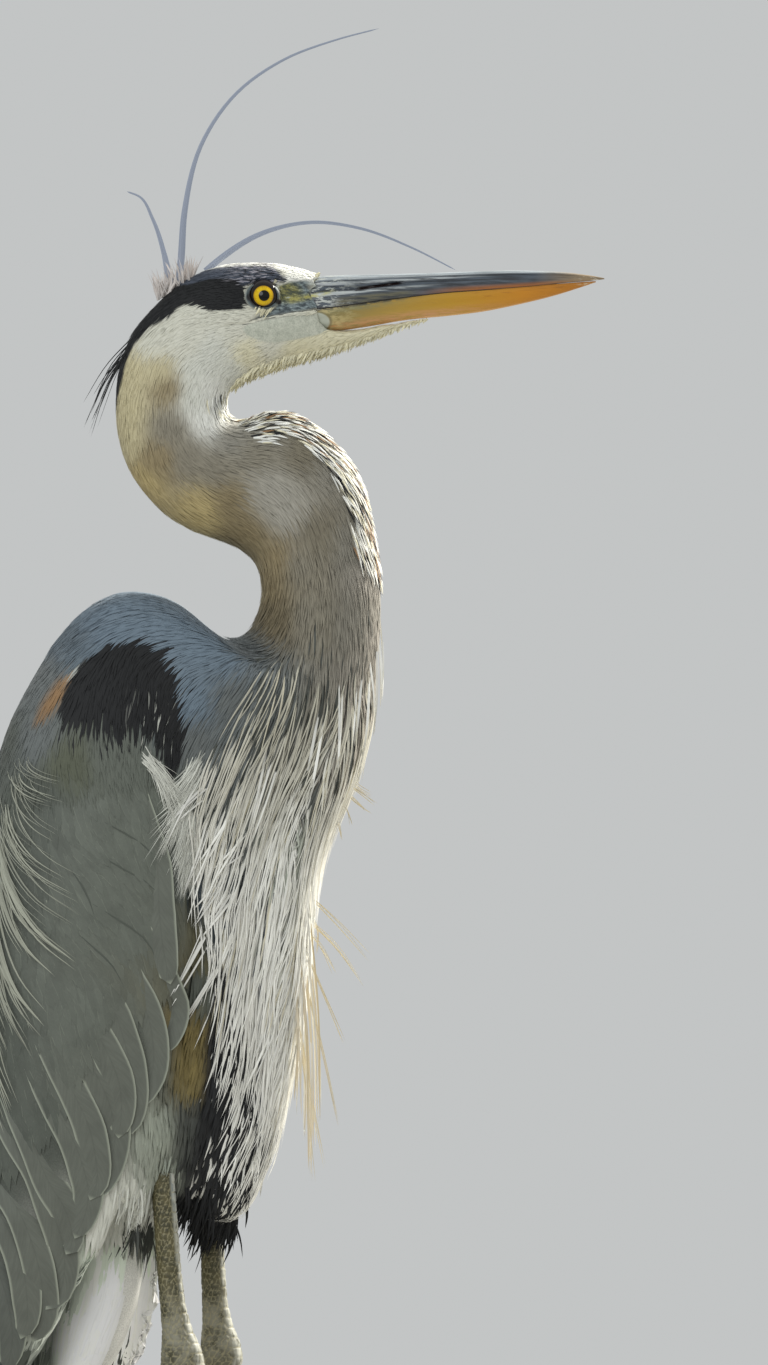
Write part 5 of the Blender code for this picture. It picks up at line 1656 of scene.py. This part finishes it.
# The locks of the colour shade are painted shade, in the dark gaps by the near leg, under the white thigh
# tuft and by the far side of the belly.
FRINGES = [  # side, x from, x to, z, length, colour, count
    (RIGHT, -25, -5, 282, 15, "cloud", 220), (RIGHT, -38, -20, 268, 22, "mist", 230),
    (RIGHT, -8, -3, 284, 11, "shade", 40), (RIGHT, -40, -20, 243, 18, "shade", 170),
    (LEFT, 2, 24, 262, 22, "ink", 150), (LEFT, 10, 20, 256, 16, "mist", 12),
    (LEFT, 3, 24, 252, 16, "ink", 130), (LEFT, 2, 24, 246, 17, "ink", 140),
    (RIGHT, -4, 12, 262, 20, "ink", 90), (RIGHT, 6, 30, 268, 14, "ink", 90),
    (LEFT, 16, 31, 270, 16, "ink", 60), (RIGHT, 12, 37, 284, 18, "frost", 60),
    (LEFT, 16, 38, 284, 18, "frost", 60), (LEFT, -10, 6, 262, 18, "shade", 60),
]
for side, x0, x1, z, long, colour, count in FRINGES:
    for _ in range(count):
        x = rng.uniform(x0, x1)
        top = side_of(x, z + rng.normal(4, 4), side, -0.3)
        top = (top[0], top[1] * rng.uniform(0.55, 1.0), top[2])
        down = long * rng.uniform(0.6, 1.15)
        lean = rng.normal(-0.18, 0.16)
        end = (x + lean * down, top[1] + side * rng.normal(1.0, 1.2), top[2] - down)
        middle = ((x + end[0]) / 2 + 0.8, top[1] + side * 1.2, (top[2] + end[2]) / 2)
        fringe.append([top, middle, end])
        fringe_breadth.append(rng.uniform(0.7, 1.7))
        fringe_hue.append(linear(colour) * rng.uniform(0.7, 1.1))
plumes("thigh_fringes", fringe, SIDEWAYS, fringe_breadth, 0.4, np.array(fringe_hue), soft_down,
       np.array([0.7, 1.0, 0.9, 0.7, 0.45, 0.2]), LOCK, 94)


def on_undertail(points, out):
    x, y, z = points.T
    under = (z <= 256) & (x < -8) & (x > -54 - 0.6 * (252 - z))
    return (under & (np.abs(y) < 60) & (out[:, 0] < 0.6)).astype(float)


def vent_shade(hue, middle, tone, rng):
    """White, with a black tip here and there at the front, and painted shade in the vent's fold."""
    # Painted shade in the vent's fold.
    fold = step(middle[:, 2], 234, 243) * step(middle[:, 0] + 0.55 * (middle[:, 2] - 240), -42, -36)
    hue = np.minimum(hue * np.array((1.10, 1.19, 1.12)), 0.9)
    hue = hue + (linear((58, 56, 44)) - hue) * (0.9 * fold)[:, None]
    dark = (tone > 0.4) * (np.hypot(middle[:, 0] + 37, (middle[:, 2] - 184) / 2) < 6)
    return hue + (linear("shade") - hue) * dark[:, None]


coat("undertail_coverts", on_undertail, 4.0, 95, pale_thread, rows=7, ruffle=2, long=2.2,
     broad=2.3, high=0.16, tint=vent_shade, thick=0.06, shade=0.06, tip=0.25)

# ---- Tail ----------------------------------------------------------------------------------------
# Twelve short firm slate feathers, closed under the wings' tips, the middle ones hindmost and
# the outer ones a little shorter.
TAIL_COUNT, TAIL_BROAD = 12, 11.0
tail_low, tail_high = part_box("tail")
tail_rear, tail_front = to_mm(tail_low)[0][0], to_mm(tail_high)[0][0]
tail_quills, tail_hue = [], []
for k in range(TAIL_COUNT):
    y = -19 + 38 * k / (TAIL_COUNT - 1)
    depth = 1.6 * (1 - abs(k - 5.5) / 6)
    root, tip = tail_front - 5 - depth, tail_rear + 5 - depth
    tail_quills.append(
        [(root, y * 0.35, 256), ((root + tip) / 2 + 1, y * 0.7, 180), (tip, y * 0.82, 101 + abs(y) * 0.3)]
    )
    tail_hue.append(linear((74, 82, 88)) * (0.9 + 0.02 * k))
tail = plumes("tail_feathers", tail_quills, BACKWARDS, np.full(TAIL_COUNT, TAIL_BROAD), 0.06,
              np.array(tail_hue), quill_finish, quill_profile, VANE, 96)
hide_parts("tail")

# ---- Legs and feet -------------------------------------------------------------------------------
# Bare legs in horny skin: a net of small six-sided scales all round, and broad shields down the front of
# the tarsus and across the top of each toe.
SHANK_RISES, SHANK_LEANS = 34.0, 2.0  # how far the bare shank goes on up into the thigh's feathers
SHANK_TOP = 240  # the shank's upper end lies above this
SCALE_BROAD, SCALE_HIGH, LEG_RADIUS = 3.0, 2.9, 7.0  # the breadth holds at this radius
SHIELD_HIGH, TOE_SHIELD_LONG = 5.2, 3.6
SCALE_DEEP, SCALE_SCATTER = 0.5, 0.27  # the scatter as a share of a scale


def lengthen_shank(node, part):
    """The bare shank goes on up, out of sight."""
    if not node.startswith("shank"):
        return
    for vertex in part.verts:
        if vertex.co.z > SHANK_TOP * MM:
            vertex.co.z += SHANK_RISES * MM
            vertex.co.x -= SHANK_LEANS * MM


def scaled_leg(label, side):
    """One bare leg and foot, with its scales and shields raised on it."""
    nodes = (f"shank_{label}", f"tarsus_{label}", f"foot_{label}")
    leg = one_shell(f"leg_{label}", nodes, grown=0.35, voxel=0.8, reshape=lengthen_shank)
    points = relax(leg.data, to_mm(vertex_table(leg.data)), rounds=5)
    set_points(leg.data, points)
    normals = vertex_table(leg.data, "normal")
    x, y, z = points.T
    # the leg's middle at each height, from its own points
    levels = np.linspace(17, 274, 66)
    shaft = z > 20
    middle_x = np.array([x[shaft & (np.abs(z - level) < 4)].mean() for level in levels])
    middle_y = np.array([y[shaft & (np.abs(z - level) < 4)].mean() for level in levels])
    cx, cy = np.interp(z, levels, middle_x), np.interp(z, levels, middle_y)
    round_way = np.arctan2(y - cy, x - cx)
    # hexagonal scales in rows round the leg
    across, up = round_way * LEG_RADIUS / SCALE_BROAD, z / SCALE_HIGH
    row = np.floor(up)
    best, second = np.full(len(x), 9.0), np.full(len(x), 9.0)
    for dr in (-1, 0, 1):
        for dc in (-1, 0, 1):
            r = row + dr
            c = np.floor(across - 0.5 * (r % 2)) + dc
            jitter_a = np.sin(r * 12.9898 + c * 78.233) * SCALE_SCATTER
            jitter_b = np.sin(r * 39.425 + c * 11.135) * SCALE_SCATTER
            far = np.hypot(across - (c + 0.5 + 0.5 * (r % 2) + jitter_a), up - (r + 0.5 + jitter_b))
            second = np.minimum(second, np.maximum(best, far))
            best = np.minimum(best, far)
    net = step(second - best, 0.0, 0.34)
    front = step(np.cos(round_way), 0.6, 0.8) * step(z, 16, 24)
    bands = np.abs(((z / SHIELD_HIGH) % 1.0) - 0.5) * 2
    shields = step(1 - bands, 0.0, 0.28)
    on_toe = step(z, 18, 15)
    from_middle = np.hypot(x - cx[z.argmin()], y - side * 35.0)
    toe_bands = np.abs(((from_middle / TOE_SHIELD_LONG) % 1.0) - 0.5) * 2
    toe_shields = step(1 - toe_bands, 0.0, 0.3)
    relief = net + (shields - net) * front
    top = step(normals[:, 2], 0.1, 0.5) * on_toe
    relief = relief + (toe_shields - relief) * top
    sole = step(-normals[:, 2], 0.3, 0.7) * on_toe
    relief = relief * (1 - sole)
    points = points + normals * (SCALE_DEEP * (relief - 1))[:, None]
    lowest = points[:, 2].min()
    points[:, 2] = np.maximum(points[:, 2], max(lowest, 0.0))
    set_points(leg.data, points)
    measure(leg.data, "scale", relief)
    measure(leg.data, "front", step(np.cos(round_way), 0.55, 0.92) * step(z, 20, 40))
    measure(leg.data, "height", z / 250)
    leg.data.shade_smooth()
    leg.data.materials.clear()
    leg.data.materials.append(leg_finish)
    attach(leg, "root")
    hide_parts(f"shank_{label}", f"tarsus_{label}", f"foot_{label}")


leg_finish, v = new_finish("leg_scales", roughness=0.55)
blotch = v.noise(v.place(), 140.0, 3.0, 0.6)
fine = v.noise(v.place(), 900.0, 3.0, 0.6)
grain = v.noise(v.place(scale=(1, 1, 0.3)), 420.0, 3.0, 0.6)
scale, front_edge, height = v.attribute("scale"), v.attribute("front"), v.attribute("height")
base = blotch.between(0.35, 0.65).mix(shade_of(62, 60, 38), shade_of(90, 84, 54))
base = (height.between(0.96, 1.08) * front_edge).mix(base, shade_of(110, 124, 130))
below_ankle = height.between(0.66, 0.74) * (1.0 - height.between(0.78, 0.88)) * blotch.between(0.3, 0.6)
base = (below_ankle * 0.7).mix(base, shade_of(150, 148, 132))
base = ((1.0 - height.between(0.62, 0.76)) * 0.7).mix(base, shade_of(84, 80, 62))
base = (front_edge * grain.between(0.3, 0.6) * 0.8).mix(base, shade_of(206, 206, 192))
base = (fine.between(0.55, 0.7) * 0.35).mix(base, shade_of(156, 152, 122))
base = ((1.0 - scale.between(0.1, 0.8)) * 0.62).mix(base, shade_of(160, 152, 118))
connect(leg_finish, Base_Color=base, Normal=v.bump(fine, 0.4, 0.0003), Roughness=0.45 + 0.25 * fine)
for side, label in SIDES:
    scaled_leg(label, side)

# ---- Claws ---------------------------------------------------------------------------------------
# Four blackish claws to each foot, of smooth horn, slightly ridged lengthwise and grown from the
# ends of the toes.
claw_horn, v = new_finish("claw_horn", roughness=0.32, Coat_Weight=0.3, Coat_Roughness=0.3)
grain = v.noise(v.place(), 800.0, 3.0, 0.6)
base = grain.between(0.35, 0.65).mix(shade_of(38, 33, 28), shade_of(78, 68, 56))
connect(claw_horn, Base_Color=base, Roughness=0.28 + 0.25 * grain, Normal=v.bump(grain, 0.3, 0.0002))
for label in ("left", "right"):
    for toe in ("inner", "middle", "outer", "hind"):
        claw = frame["nodes"][f"claw_{label}_{toe}"]
        claw.material_slots[0].material = claw_horn

# ---- Floor, light and camera --------------------------------------------------------------------
# A plain pale floor under soft lamps, seen square from the bird's right side and from so far off
# that nothing looks foreshortened. Sizes here are in metres.
FLOOR_RADIUS = 3.7
bm = bmesh.new()
bmesh.ops.create_circle(bm, cap_ends=True, segments=96, radius=FLOOR_RADIUS)
mesh = bpy.data.meshes.new("floor")
bm.to_mesh(mesh)
bm.free()
floor = into_scene("floor", mesh)
floor_finish, v = new_finish("floor_paper", roughness=0.85)
grain = v.noise(v.place(), 14.0, 2.0, 0.5)
connect(floor_finish, Base_Color=grain.mix((0.31, 0.307, 0.297, 1), (0.335, 0.332, 0.322, 1)))
mesh.materials.append(floor_finish)

world = bpy.data.worlds.new("studio")
bpy.context.scene.world = world
world.use_nodes = True
sky = world.node_tree.nodes["Background"].inputs
sky["Color"].default_value = (0.80, 0.82, 0.82, 1)
sky["Strength"].default_value = 0.68
bpy.context.scene.view_settings.view_transform = "Standard"


def lamp(name, size, power, at, towards, colour):
    """A round soft lamp."""
    data = bpy.data.lights.new(name, "AREA")
    data.shape, data.size, data.energy, data.color = "DISK", size, power, colour
    made = into_scene(name, data)
    made.location, made.rotation_mode = at, "QUATERNION"
    made.rotation_quaternion = (Vector(towards) - Vector(at)).to_track_quat("-Z", "Y")


AIM = (0.0, 0.0, 0.5)
lamp("sun_side", 0.5, 150, (1.7, 1.1, 2.1), AIM, (1.0, 0.96, 0.88))
lamp("soft_front", 2.0, 34, (-1.2, -2.4, 1.8), AIM, (0.94, 0.97, 1.0))

VIEW_HIGH, VIEW_X, VIEW_Z, CAMERA_FAR = 0.7098, 0.0571, 0.529, 8.0
camera_data = bpy.data.cameras.new("camera")
camera_data.sensor_width = 36
camera_data.lens = camera_data.sensor_width * CAMERA_FAR / VIEW_HIGH
camera_data.clip_end = 60
camera = into_scene("camera", camera_data)
camera.location = (VIEW_X, -CAMERA_FAR, VIEW_Z)
camera.rotation_euler = (math.radians(90), 0, 0)
bpy.context.scene.camera = camera
